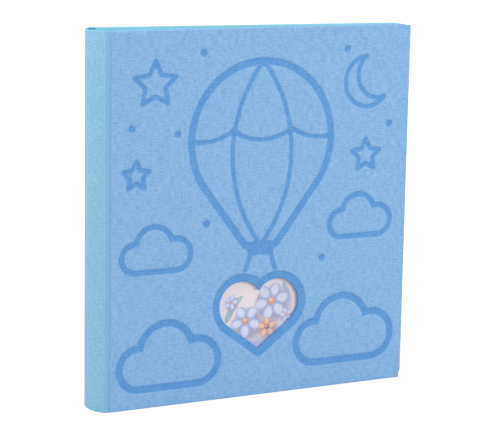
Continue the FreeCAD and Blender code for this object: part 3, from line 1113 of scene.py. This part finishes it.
def extrude_fold(bm: bmesh.types.BMesh, edges: list[bmesh.types.BMEdge],
                 steps: Pairs) -> None:
    """Folds the cloth on from a border, each step along the direction kept on its vertices.

    Args:
        bm: The cloth's mesh, in a cover's frame.
        edges: The border's edges.
        steps: How far each step goes outwards and inwards into the album.
    """
    outward = bm.verts.layers.float_vector[OUTWARD_LAYER]
    position = bm.verts.layers.float_vector[CLOTH_LAYER]
    turned = bm.verts.layers.float[TURNED_IN_LIGHT_AND_SHADE_LAYER]
    for out, deep in steps:
        verts, edges = extrude_on(bm, edges)
        length = math.hypot(out, deep)
        for vert in verts:
            across, up = vert[outward].x, vert[outward].z
            vert.co += Vector((across * out, deep, up * out))
            vert[position] += Vector((across * length, up * length, 0))
            # Turned-in steps take the cloth's turned-in colour, painted light on the covers.
            vert[turned] = float(out <= 0)


def cut_along(bm: bmesh.types.BMesh, field_of: Callable[[np.ndarray], np.ndarray],
              reach: float) -> None:
    """Cuts the faces of a flat mesh along the line where a field is zero.

    A vertex that nearly lies on the line is moved onto it first, so that no sliver is left.

    Args:
        bm: The mesh, flat in the X and Z of a cover's frame.
        field_of: Gives the field at an array of (across, up) points.
        reach: How near to the line a vertex is moved onto it.
    """
    verts = list(bm.verts)
    bm.verts.index_update()
    at = np.array([(vert.co.x, vert.co.z) for vert in verts])
    value = field_of(at)
    # At a ridge of the field the slope says nothing, and the vertex is left where it is.
    least_steep = 0.5
    slope = np.stack([(field_of(at + step) - value) / NEAR for step in ((NEAR, 0), (0, NEAR))], axis=1)
    on_line = []
    for number in np.flatnonzero(np.abs(value) < reach):
        vert = verts[number]
        if vert.is_boundary and abs(value[number]) > NEAR:
            continue
        steep = slope[number] @ slope[number]
        if steep > least_steep:
            vert.co.x -= value[number] * slope[number, 0] / steep
            vert.co.z -= value[number] * slope[number, 1] / steep
        value[number] = 0.0
        on_line.append(vert)
    for edge in list(bm.edges):
        start, end = edge.verts
        before, after = value[start.index], value[end.index]
        if before * after < 0:
            on_line.append(bmesh.utils.edge_split(edge, start, before / (before - after))[1])
    bmesh.ops.connect_verts(bm, verts=on_line)


def tuck_corners(bm: bmesh.types.BMesh, low: Vector, high: Vector, tuck: float = 1.2 * MM,
                 reach: float = 7.0 * MM) -> None:
    """Draws the two fore-edge corners in, where the cloth is folded under itself.

    Args:
        bm: The cloth or the board, in a cover's frame.
        low: Its lowest corner.
        high: Its highest corner.
        tuck: How far the tail corner is drawn in.
        reach: How far the drawn-in corners reach along the edge.
    """
    tail_depth, tail_end = 4 * MM, 1.6 * MM
    head_depth, head_reach = 3 * MM, 1.4 * reach
    for vert in bm.verts:
        from_fore, from_head, from_tail = high.x - vert.co.x, high.z - vert.co.z, vert.co.z - low.z
        tail = smooth_step(1 - from_fore / tail_depth) * smooth_step((reach - from_tail) / tail_end)
        head = smooth_step(1 - from_head / head_depth) * smooth_step(1 - from_fore / head_reach)
        vert.co.x -= tuck * float(tail)
        vert.co.z -= tuck * float(head)


@dataclass
class Board:
    """The greyboard that stiffens a cover, with its two fore-edge corners pared."""

    place: CoverFrame
    finish: bpy.types.Material
    spacing: float = 0.7 * MM
    count: int = 15

    def make(self) -> bpy.types.Object:
        """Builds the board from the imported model's.

        Returns:
            The piece.
        """
        node = self.place.side.value + "_board"
        low, high = self.place.box(node)
        bm = bmesh.new()
        bm.from_mesh(frame["nodes"][node].data)
        bmesh.ops.transform(bm, matrix=self.place.matrix.inverted(), verts=bm.verts)
        for number in range(1, self.count):
            step = number * self.spacing
            for point, normal in (
                (Vector((high.x - step, 0, 0)), (1, 0, 0)), (Vector((0, 0, low.z + step)), (0, 0, 1)),
            ):
                everything = [*bm.verts, *bm.edges, *bm.faces]
                bmesh.ops.bisect_plane(bm, geom=everything, plane_co=point, plane_no=normal)
        tuck_corners(bm, low, high)
        bmesh.ops.transform(bm, matrix=self.place.matrix, verts=bm.verts)
        piece = make_object(node + "_card", bm, [self.finish])
        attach(piece, self.place.side.value + "_cover")
        set_piece(piece, "greyboard", node)
        return piece


@dataclass
class CoverWrap:
    """Cloth over the outside of a board, rolled over its edges and turned in behind it."""

    place: CoverFrame
    finish: bpy.types.Material
    window: Heart | None = None
    design: PressedDesign | None = None
    cell: float = 2.1 * MM
    cloth: float = 0.36 * MM
    roll: float = 0.9 * MM
    side_roll: float = 0.75 * MM
    window_roll: float = 0.45 * MM
    window_flap: float = 3.0 * MM
    turn_in: float = 15.0 * MM
    press_depth: float = 0.32 * MM
    press_slope: float = 0.7 * MM
    # How near to a line a vertex is moved onto it, as a share of a cell.
    press_snap: float = 0.12
    window_snap: float = 0.25
    # Share of the board's edge that the cloth covers at the joint.
    hinge_strip: float = 0.58
    strip_inset: float = 0.25 * MM

    def __post_init__(self) -> None:
        """Reads the cloth's box in the cover's frame, and where its flat face ends."""
        self.low, self.high = self.place.box(self.place.side.value + "_cover_cloth")
        self.deep = self.high.y - self.low.y
        self.left, self.right = self.low.x + self.side_roll - self.cloth, self.high.x - self.roll
        self.bottom, self.top = self.low.z + self.roll, self.high.z - self.roll

    def make(self) -> bpy.types.Object:
        """Builds the cloth.

        Returns:
            The piece.
        """
        bm = bmesh.new()
        self.lay_face(bm)
        if self.window:
            self.press(bm)
            self.open_window(bm)
        self.turn_over(bm)
        tuck_corners(bm, self.low, self.high)
        bm.verts.layers.float_vector.remove(bm.verts.layers.float_vector[OUTWARD_LAYER])
        self.place.set_in(bm)
        side = self.place.side.value
        piece = make_object(side + "_cover_wrap", bm, [self.finish])
        thicken(piece, self.cloth)
        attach(piece, side + "_cover")
        set_piece(piece, "cover_cloth", side + "_cover_cloth")
        return piece

    def lay_face(self, bm: bmesh.types.BMesh) -> None:
        """Lays the flat of the cloth as a grid that ends where the edges start to roll.

        Args:
            bm: The cloth's mesh, still empty.
        """
        width, height = self.right - self.left, self.top - self.bottom
        upright_grid(bm, Vector((self.left, self.low.y, self.bottom)), Vector((self.right, 0, self.top)),
                     round(width / self.cell), round(height / self.cell))
        bm.verts.layers.float_vector.new(OUTWARD_LAYER)
        add_cloth_layers(bm)
        self.mark_cloth(bm)

    def mark_cloth(self, bm: bmesh.types.BMesh) -> None:
        """Keeps on each vertex of the face its place on the flat cloth.

        Args:
            bm: The cloth's mesh.
        """
        position = bm.verts.layers.float_vector[CLOTH_LAYER]
        for vert in bm.verts:
            vert[position] = Vector((vert.co.x, vert.co.z, 0))

    def press(self, bm: bmesh.types.BMesh) -> None:
        """Presses the design into the face, with a short slope at the edge of each line.

        Args:
            bm: The cloth's mesh.
        """
        opening = self.window.let_out(self.window_roll)
        band = self.window.let_out(self.design.band_width)
        # The sharp points of the window and its band each get a vertex of their own.
        for across, up in (opening.tip, opening.notch, band.tip, band.notch):
            nearest = min(bm.verts, key=lambda vert: math.hypot(vert.co.x - across, vert.co.z - up))
            nearest.co.x = across
            nearest.co.z = up
        figure = self.design.figure()
        # Cuts at the edge, halfway down the slope and at its foot.
        for level in (0.0, 0.5, 1.0):
            shift = level * self.press_slope
            cut_along(bm, lambda at: figure.distance(at) + shift, self.press_snap * self.cell)
        pressed = bm.verts.layers.float[PRESSED_LAYER]
        at = np.array([(vert.co.x, vert.co.z) for vert in bm.verts])
        share = smooth_step(-figure.distance(at) / self.press_slope)
        for vert, amount in zip(bm.verts, share):
            vert[pressed] = float(amount)
            vert.co.y += float(amount) * self.press_depth

    def open_window(self, bm: bmesh.types.BMesh) -> None:
        """Cuts the window out of the face and turns its edge in behind the board.

        Args:
            bm: The cloth's mesh.
        """
        opening = self.window.let_out(self.window_roll)
        cut_along(bm, opening.distance, self.window_snap * self.cell)
        centres = np.array([(c.x, c.z) for c in (face.calc_center_median() for face in bm.faces)])
        inside = opening.distance(centres) < 0
        doomed = [face for face, out in zip(bm.faces, inside) if out]
        bmesh.ops.delete(bm, geom=doomed, context="FACES")
        self.mark_cloth(bm)

        outward = bm.verts.layers.float_vector[OUTWARD_LAYER]
        edges = [edge for edge in bm.edges if edge.is_boundary and self.in_window(edge)]
        inset = 0.1 * MM
        smaller = opening.let_out(-inset)
        # The cloth folds along rays from the middle, so that it never crosses itself.
        middle = Vector((opening.across, 0, opening.lobe_up - opening.radius / 4))
        for vert in {vert for edge in edges for vert in edge.verts}:
            at = np.array([(vert.co.x, vert.co.z)])
            slope = [
                float((opening.distance(at + step) - opening.distance(at - step))[0]) / (2 * NEAR)
                for step in ((NEAR, 0), (0, NEAR))
            ]
            ray = Vector((vert.co.x, 0, vert.co.z)) - middle
            vert[outward] = -ray / (ray.x * slope[0] + ray.z * slope[1])
            for corner, moved in ((opening.tip, smaller.tip), (opening.notch, smaller.notch)):
                if math.hypot(vert.co.x - corner[0], vert.co.z - corner[1]) < NEAR:
                    vert[outward] = Vector((0, 0, (moved[1] - corner[1]) / inset))
        extrude_fold(bm, edges, fold_steps(
            self.window_roll, self.deep - self.press_depth, self.window_flap))

    def in_window(self, edge: bmesh.types.BMEdge) -> bool:
        """Finds whether an edge lies well inside the face's border.

        Args:
            edge: The edge.

        Returns:
            True if it is an edge of the window.
        """
        middle = (edge.verts[0].co + edge.verts[1].co) / 2
        margin = 5 * self.roll
        across = self.low.x + margin < middle.x < self.high.x - margin
        return across and self.low.z + margin < middle.z < self.high.z - margin

    def turn_over(self, bm: bmesh.types.BMesh) -> None:
        """Rolls the cloth over the board's four edges and turns in all but the spine's side.

        Args:
            bm: The cloth's mesh.
        """
        outward = bm.verts.layers.float_vector[OUTWARD_LAYER]
        rim, spine_side = [], []
        for edge in bm.edges:
            if not edge.is_boundary or edge.verts[0].co.y > self.low.y + NEAR:
                continue
            sides = [
                (at.x < self.left + NEAR, at.x > self.right - NEAR, at.z > self.top - NEAR,
                 at.z < self.bottom + NEAR) for at in (vert.co for vert in edge.verts)
            ]
            shared = [first and second for first, second in zip(*sides)]
            if shared[0]:
                spine_side.append(edge)
            elif any(shared):
                rim.append(edge)
        half_height = (self.top - self.bottom) / 2
        for vert in {vert for edge in rim for vert in edge.verts}:
            across = (vert.co.x - self.left) / (self.right - self.left)
            up = (vert.co.z - (self.bottom + self.top) / 2) / half_height
            vert[outward] = Vector((across, 0, up))
        extrude_fold(bm, rim, fold_steps(self.roll, self.deep, self.turn_in))

        # On the spine's side the cloth only covers part of the board's edge, down into the joint.
        for vert in {vert for edge in spine_side for vert in edge.verts}:
            vert[outward] = Vector((-1, 0, 0))
        known = set(bm.verts)
        turns = 4
        over = fold_steps(self.side_roll, self.deep, self.side_roll, turns)[:turns]
        extrude_fold(bm, spine_side, [*over, (0.0, self.hinge_strip * self.deep)])
        for vert in set(bm.verts) - known:
            if vert.co.z > self.top - NEAR:
                vert.co.z = self.high.z - self.strip_inset
            elif vert.co.z < self.bottom + NEAR:
                vert.co.z = self.low.z + self.strip_inset
        for vert in known:
            rolled = vert.co.z > self.top + NEAR or vert.co.z < self.bottom - NEAR
            if rolled and vert.co.x < self.left + NEAR:
                vert.co.x = self.low.x - self.cloth


# ---------------------------------------------------------------- spine

@dataclass
class Spine:
    """The round hollow spine and the two joints that tie it to the boards."""

    finish: bpy.types.Material
    joint_lap: float = 0.3 * MM
    cloth: float = 0.36 * MM
    lip: float = 15.0 * MM
    card: float = 1.0 * MM
    groove: float = 0.25 * MM
    steps: int = 40

    def __post_init__(self) -> None:
        """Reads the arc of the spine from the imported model."""
        front = CoverFrame.of(Side.FRONT)
        low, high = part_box("spine_cloth")
        bulge = front.hinge.x - low.x
        self.half = -front.hinge.y
        self.radius = (self.half ** 2 + bulge ** 2) / (2 * bulge)
        self.centre = low.x + self.radius
        self.bottom, self.top = low.z, high.z
        self.hinge_turn = math.asin(self.half / self.radius)
        self.end_turn = self.hinge_turn - self.joint_lap / self.radius
        card_low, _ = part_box("spine_card")
        self.depth = 2 * (card_low.x - low.x) + self.card

    def profile(self, turns: int = 8, rows: int = 24) -> Pairs:
        """The cloth from its tail turn-in over the outside to its head turn-in.

        Args:
            turns: Number of steps round each end.
            rows: Number of steps up the outside.

        Returns:
            Pairs of depth behind the outer face and height.
        """
        roll = self.depth / 2
        low, high = self.bottom + roll, self.top - roll
        angles = [math.pi * number / turns for number in range(turns + 1)]
        path = [(self.depth, self.bottom + self.lip)]
        path += [(roll + roll * math.cos(turn), low - roll * math.sin(turn)) for turn in angles]
        path += [(0.0, low + (high - low) * number / rows) for number in range(1, rows)]
        path += [(roll - roll * math.cos(turn), high + roll * math.sin(turn)) for turn in angles]
        path.append((self.depth, self.top - self.lip))
        return path

    def make_cloth(self) -> bpy.types.Object:
        """Builds the cloth round the spine card.

        Returns:
            The piece.
        """
        bm = bmesh.new()
        roll = self.depth / 2
        path = self.profile()
        start = Matrix.Rotation(-self.end_turn, 3, "Z")
        verts = []
        for deep, up in path:
            flat = start @ Vector((deep - self.radius, 0, 0))
            verts.append(bm.verts.new((self.centre + flat.x, flat.y, up)))
        edges = [bm.edges.new(pair) for pair in zip(verts, verts[1:])]
        bmesh.ops.spin(
            bm, geom=verts + edges, cent=(self.centre, 0, 0), axis=(0, 0, 1), dvec=(0, 0, 0),
            angle=2 * self.end_turn, steps=self.steps, use_merge=False, use_duplicate=False,
        )
        back = Vector((self.centre - self.radius, 0, 0.5 * self.top))
        turn_faces(bm, near=back, towards=Vector((-1, 0, 0)))
        position, _, turned = add_cloth_layers(bm)
        for vert in bm.verts:
            across = vert.co.x - self.centre
            turn = math.atan2(-vert.co.y, -across)
            inside = math.hypot(across, vert.co.y) < self.radius - roll
            up = vert.co.z
            if inside:
                mirror = self.top if up > 0.5 * (self.top + self.bottom) else self.bottom
                up = 2 * mirror - up
            vert[position] = Vector((-turn * self.radius, up, 0))
            # The turn-ins inside the hollow take the darker turned-in colour: painted shade.
            vert[turned] = float(inside)
        piece = make_object("spine_wrap", bm, [self.finish])
        thicken(piece, self.cloth)
        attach(piece, "album_spine")
        set_piece(piece, "spine_cloth", "spine_cloth")
        return piece

    def joint_section(self, place: CoverFrame) -> list[Vector]:
        """Points across one joint in the cover's frame, from the spine's edge to the board.

        Args:
            place: The cover's frame.

        Returns:
            Points in order, with their up value left at zero.
        """
        board_low, _ = place.box(place.side.value + "_board")
        back = place.matrix.inverted()
        points = []
        # The arc of the spine goes on over most of its lap, and then the groove starts.
        laps, lap_share = 4, 0.9
        for number in range(laps + 1):
            turn = self.end_turn + (self.hinge_turn - self.end_turn) * lap_share * number / laps
            across = self.centre - self.radius * math.cos(turn)
            out = -place.side.sign * self.radius * math.sin(turn)
            points.append(back @ Vector((across, out, 0)))
        # Shares of the way to the board, and of the groove's depth.
        curve = ((0.10, 0.0), (0.26, 0.5), (0.48, 1.0), (0.70, 0.7), (0.86, -0.2), (0.95, -1.0))
        points += [Vector((share * board_low.x, deep * self.groove, 0)) for share, deep in curve]
        return points

    def make_joint(self, side: Side) -> bpy.types.Object:
        """Builds the cloth across one joint.

        Args:
            side: The cover that the joint is for.

        Returns:
            The piece.
        """
        place = CoverFrame.of(side)
        section = self.joint_section(place)
        bm = bmesh.new()
        position, pressed, turned = add_cloth_layers(bm)
        length = self.end_turn * self.radius
        verts = []
        roll = self.depth / 2
        for number, point in enumerate(section):
            if number:
                length += (point - section[number - 1]).length
            vert = bm.verts.new((point.x, point.y + self.depth, self.bottom + self.lip))
            vert[position] = Vector((length, self.bottom - self.lip, 0))
            # The joint's section is marked pressed: its colour there is painted shade of the groove.
            vert[pressed] = 1.0
            verts.append(vert)
        edges = [bm.edges.new(pair) for pair in zip(verts, verts[1:])]
        path = self.profile()
        for start, end in zip(path, path[1:]):
            fresh, edges = extrude_on(bm, edges)
            step = Vector((0, end[0] - start[0], end[1] - start[1]))
            for vert in fresh:
                vert.co += step
                vert[position] += Vector((0, step.length, 0))
                # The joint's outside takes the pressed colour, painted shade of its groove; its turn-ins
                # take the turned-in colour, painted shade of the hollow.
                vert[pressed] = float(end[0] < roll)
                vert[turned] = float(end[0] >= roll)
        middle = Vector((0.5 * section[-1].x, 0, 0.5 * self.top))
        turn_faces(bm, near=middle, towards=Vector((0, -1, 0)))
        place.set_in(bm)
        piece = make_object(side.value + "_joint_wrap", bm, [self.finish])
        thicken(piece, self.cloth)
        start, end = (place.matrix @ point for point in (section[0], section[-1]))
        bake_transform(piece, "album_spine", side.value + "_cover", start=start, end=end)
        set_piece(piece, "spine_cloth", side.value + "_joint_cloth")
        return piece


# ---------------------------------------------------------------- book block and print

@dataclass
class Leaf:
    """One leaf of card, from its fold beside the guards to the fore-edge."""

    name: str
    number: int
    finish: bpy.types.Material
    slot: str
    fold_width: float = 7.0 * MM
    # Leaves are cut a little unevenly, and their tints differ a little.
    spread: float = 0.22 * MM
    head_spread: float = 0.6
    width_rhythm: float = 2.4
    height_rhythm: float = 3.7
    tint_rhythm: float = 5.3
    tint_share: float = 0.16
    # Columns crowd towards the fold, where the leaf bends.
    columns: int = 36
    crowding: float = 1.7

    def make(self) -> bpy.types.Object:
        """Builds the leaf.

        Returns:
            The piece.
        """
        joint = next(joint for joint in frame["joints"] if joint["name"] == self.name + "_hinge")
        corners = [vert.co for vert in frame["nodes"][self.name].data.vertices]
        low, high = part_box(self.name)
        middle = (low.x + high.x) / 2
        ends = []
        for near in (True, False):
            found = [corner for corner in corners if (corner.x < middle) == near]
            ends.append(sum(found, Vector()) / len(found))
        start, end = ends
        level = [corner for corner in corners if corner.z - low.z < NEAR]
        thickness = min((a - b).length for a in level for b in level if (a - b).length > NEAR)
        start.z = end.z = 0
        run = (end - start).normalized()
        start -= run * (start.x - joint["pos_m"][0]) / run.x
        end += run * self.spread * (math.sin(self.width_rhythm * self.number) - 1)
        uneven = self.head_spread * (math.sin(self.height_rhythm * self.number) - 1)
        bottom, top = low.z, high.z + self.spread * uneven
        normal = Vector((-run.y, run.x, 0))
        length = (end - start).length
        across = Matrix((
            (run.x * length, 0, normal.x, start.x),
            (run.y * length, 0, normal.y, start.y),
            (0, top - bottom, 0, bottom),
            (0, 0, 0, 1),
        ))
        bm = bmesh.new()
        bmesh.ops.create_grid(bm, x_segments=self.columns, y_segments=2, size=0.5,
                              matrix=Matrix.Translation((0.5, 0.5, 0)))
        for vert in bm.verts:
            vert.co.x **= self.crowding
        bmesh.ops.transform(bm, matrix=across, verts=bm.verts)
        bmesh.ops.translate(bm, vec=normal * thickness / 2, verts=bm.verts)
        turn_faces(bm, near=start, towards=normal)
        tint = bm.verts.layers.float.new(TINT_LAYER)
        for vert in bm.verts:
            vert[tint] = self.tint_share + self.tint_share * math.sin(self.tint_rhythm * self.number)
        piece = make_object(self.name + "_card", bm, [self.finish])
        thicken(piece, thickness)
        fold_end = start + run * self.fold_width
        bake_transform(piece, "album_spine", self.name, start=start, end=fold_end)
        set_piece(piece, self.slot, self.name)
        return piece


@dataclass
class PhotoSheet:
    """The photo print that shows in the window, with slightly rounded corners."""

    front: bpy.types.Material
    back: bpy.types.Material
    corner: float = 1.5 * MM
    picture_drop: float = 8.0 * MM

    def make(self, window: Heart) -> bpy.types.Object:
        """Builds the print.

        Args:
            window: The window that its picture is centred in.

        Returns:
            The piece.
        """
        place = CoverFrame.of(Side.FRONT)
        low, high = place.box("photo_print")
        bm = bmesh.new()
        upright_grid(bm, low, high, 1, 1)
        bmesh.ops.bevel(bm, geom=list(bm.verts), affect="VERTICES", offset=self.corner,
                        segments=5, profile=0.5, material=-1)
        position = bm.verts.layers.float_vector.new(PRINT_LAYER)
        for vert in bm.verts:
            up = vert.co.z - window.lobe_up + self.picture_drop
            vert[position] = Vector((vert.co.x - window.across, up, 0))
        place.set_in(bm)
        piece = make_object("photo_print_sheet", bm, [self.front, self.back], smooth=False)
        thicken(piece, high.y - low.y, second=True)
        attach(piece, "photo")
        set_piece(piece, "photo_paper", "photo_print")
        return piece


@dataclass
class BookBlock:
    """The leaves and every CAD piece that keeps its own shape and only takes a finish."""

    finishes: Finishes

    def dress(self) -> None:
        """Gives the carried-over CAD nodes their finishes."""
        made = self.finishes
        worn = {
            "spine_card": made.spine_card,
            "spine_lining": made.mull,
            "front_hinge_lining": made.mull,
            "back_hinge_lining": made.mull,
            "headband_head": made.headband,
            "headband_tail": made.headband,
            "guard_strips": made.page,
            "leaf_stubs": made.page,
            "front_pastedown": made.endpaper,
            "back_pastedown": made.endpaper,
            "photo_pocket": made.pocket,
        }
        for node, finish in worn.items():
            mesh = frame["nodes"][node].data
            mesh.materials.clear()
            mesh.materials.append(finish)
            log.info("%s: dressed in %s", node, finish.name)

    def make_leaves(self) -> None:
        """Builds every leaf and both flyleaves."""
        names = sorted(body for body in frame["bodies"] if body.startswith("leaf_"))
        for number, name in enumerate(names):
            Leaf(name, number, self.finishes.page, "page_card").make()
        for number, name in enumerate(("front_flyleaf", "back_flyleaf")):
            Leaf(name, number, self.finishes.endpaper, "endpaper").make()


# ---------------------------------------------------------------- stage

@dataclass(frozen=True)
class Softbox:
    """A square lamp that faces the album, with its side in metres and its power in watts."""

    name: str
    at: tuple[float, float, float]
    size: float
    power: float

    def hang(self, aim: Vector) -> None:
        """Hangs the lamp.

        Args:
            aim: The place that it faces.
        """
        lamp = bpy.data.lights.new(self.name, "AREA")
        lamp.size = self.size
        lamp.energy = self.power
        holder = bpy.data.objects.new(self.name, lamp)
        holder.location = self.at
        holder.rotation_euler = (aim - Vector(self.at)).to_track_quat("-Z", "Y").to_euler()
        bpy.context.scene.collection.objects.link(holder)


@dataclass
class Studio:
    """Floor, light, world and camera."""

    lens_mm: float = 139.281282
    sensor_mm: float = 36.0
    yaw: float = math.radians(24.853)
    pitch: float = math.radians(10.418)
    roll: float = math.radians(0.972)
    eye: tuple[float, float, float] = (-649.362 * MM, -1392.635 * MM, 427.9 * MM)
    near_clip: float = 0.05
    floor_half: float = 6.0
    floor_gap: float = 0.05 * MM
    floor_grey: float = 0.6
    floor_lift: tuple[float, float] = (0.56, 0.76)
    floor_lift_from: float = 0.25
    floor_lift_to: float = 2.0
    ambient: float = 0.53
    aim_up: float = 0.15
    # One in front to the fore-edge's side, one high on the spine's side and one behind.
    lamps: tuple[Softbox, ...] = (
        Softbox("key_softbox", (1.15, -1.65, 1.0), 1.2, 21.5),
        Softbox("spine_softbox", (-1.30, -0.12, 1.50), 0.8, 18.0),
        Softbox("back_softbox", (0.4, 2.1, 1.0), 1.2, 14.0),
    )

    def set_up(self) -> None:
        """Makes the whole stage."""
        self.lay_floor()
        self.light_world()
        for lamp in self.lamps:
            lamp.hang(Vector((0, 0, self.aim_up)))
        self.set_camera()
        bpy.context.scene.view_settings.view_transform = "Standard"

    def lay_floor(self) -> None:
        """Lays a plain white floor that takes the album's shadow."""
        bm = bmesh.new()
        bmesh.ops.create_grid(bm, x_segments=1, y_segments=1, size=self.floor_half,
                              matrix=Matrix.Translation((0, 0, -self.floor_gap)))
        # Matt white studio paper: the camera sees it a little lifted, so that it meets the
        # white backdrop without a line, and what lies on it still darkens it.
        material, tree = new_material("white_studio_paper")
        path = add_node(tree, "LightPath")
        seen = add_node(tree, "Math", {"operation": "MAXIMUM"}, {
            0: path.outputs["Is Camera Ray"], 1: path.outputs["Is Glossy Ray"]})
        place = add_node(tree, "TexCoord")
        away = add_node(tree, "VectorMath", LENGTH, {
            0: place.outputs["Object"]})
        rise = add_node(tree, "MapRange", inputs={
            "Value": away.outputs["Value"], "From Min": self.floor_lift_from,
            "From Max": self.floor_lift_to, "To Min": self.floor_lift[0],
            "To Max": self.floor_lift[1]})
        lift = add_node(tree, "Math", {"operation": "MULTIPLY"}, {
            0: seen.outputs[0], 1: rise.outputs[0]})
        paper = add_node(tree, "BsdfDiffuse", inputs={"Color": (*[self.floor_grey] * 3, 1)})
        glow = add_node(tree, "Emission", inputs={"Strength": lift.outputs[0]})
        both = add_node(tree, "AddShader", inputs={
            0: paper.outputs[0], 1: glow.outputs[0]})
        finish_material(tree, both)
        floor = make_object("studio_floor", bm, [material], smooth=False)

    def light_world(self) -> None:
        """Makes a world that is white to the eye and softly bright as a light."""
        world = bpy.data.worlds.new("studio_world")
        bpy.context.scene.world = world
        world.use_nodes = True
        tree = world.node_tree
        tree.nodes.clear()
        path = add_node(tree, "LightPath")
        seen = path.outputs["Is Camera Ray"]
        for other in ("Is Glossy Ray", "Is Transmission Ray"):
            seen = add_node(tree, "Math", {"operation": "MAXIMUM"}, {
                0: seen, 1: path.outputs[other]}).outputs[0]
        strength = add_node(tree, "MapRange", inputs={
            "Value": seen, "To Min": self.ambient, "To Max": 1.0})
        light = add_node(tree, "Background", inputs={
            "Color": (1, 1, 1, 1), "Strength": strength.outputs[0]})
        add_node(tree, "OutputWorld", inputs={"Surface": light.outputs[0]})

    def set_camera(self) -> None:
        """Sets the camera to the front and a little to the spine's side, from just above."""
        ahead = Vector((
            math.sin(self.yaw) * math.cos(self.pitch),
            math.cos(self.yaw) * math.cos(self.pitch),
            -math.sin(self.pitch),
        ))
        level = Vector((math.cos(self.yaw), -math.sin(self.yaw), 0))
        above = level.cross(ahead)
        right = level * math.cos(self.roll) + above * math.sin(self.roll)
        up = above * math.cos(self.roll) - level * math.sin(self.roll)
        data = bpy.data.cameras.new("camera")
        data.sensor_width = self.sensor_mm
        data.lens = self.lens_mm
        data.clip_start = self.near_clip
        camera = bpy.data.objects.new("camera", data)
        turned = Matrix((right, up, -ahead)).transposed().to_4x4()
        camera.matrix_world = Matrix.Translation(self.eye) @ turned
        bpy.context.scene.collection.objects.link(camera)
        bpy.context.scene.camera = camera


def main() -> None:
    """Builds the album piece by piece."""
    logging.basicConfig(level=logging.INFO, format="%(name)s: %(message)s")
    Studio().set_up()
    finishes = Finishes()
    window = Heart()
    for side in Side:
        Board(CoverFrame.of(side), finishes.greyboard).make()
    CoverWrap(CoverFrame.of(Side.FRONT), finishes.cover, window, PressedDesign(window)).make()
    CoverWrap(CoverFrame.of(Side.BACK), finishes.cover).make()
    spine = Spine(finishes.spine)
    spine.make_cloth()
    for side in Side:
        spine.make_joint(side)
    block = BookBlock(finishes)
    block.dress()
    block.make_leaves()
    PhotoSheet(finishes.photo_front, finishes.photo_back).make(window)


if __name__ == "__main__":
    main()
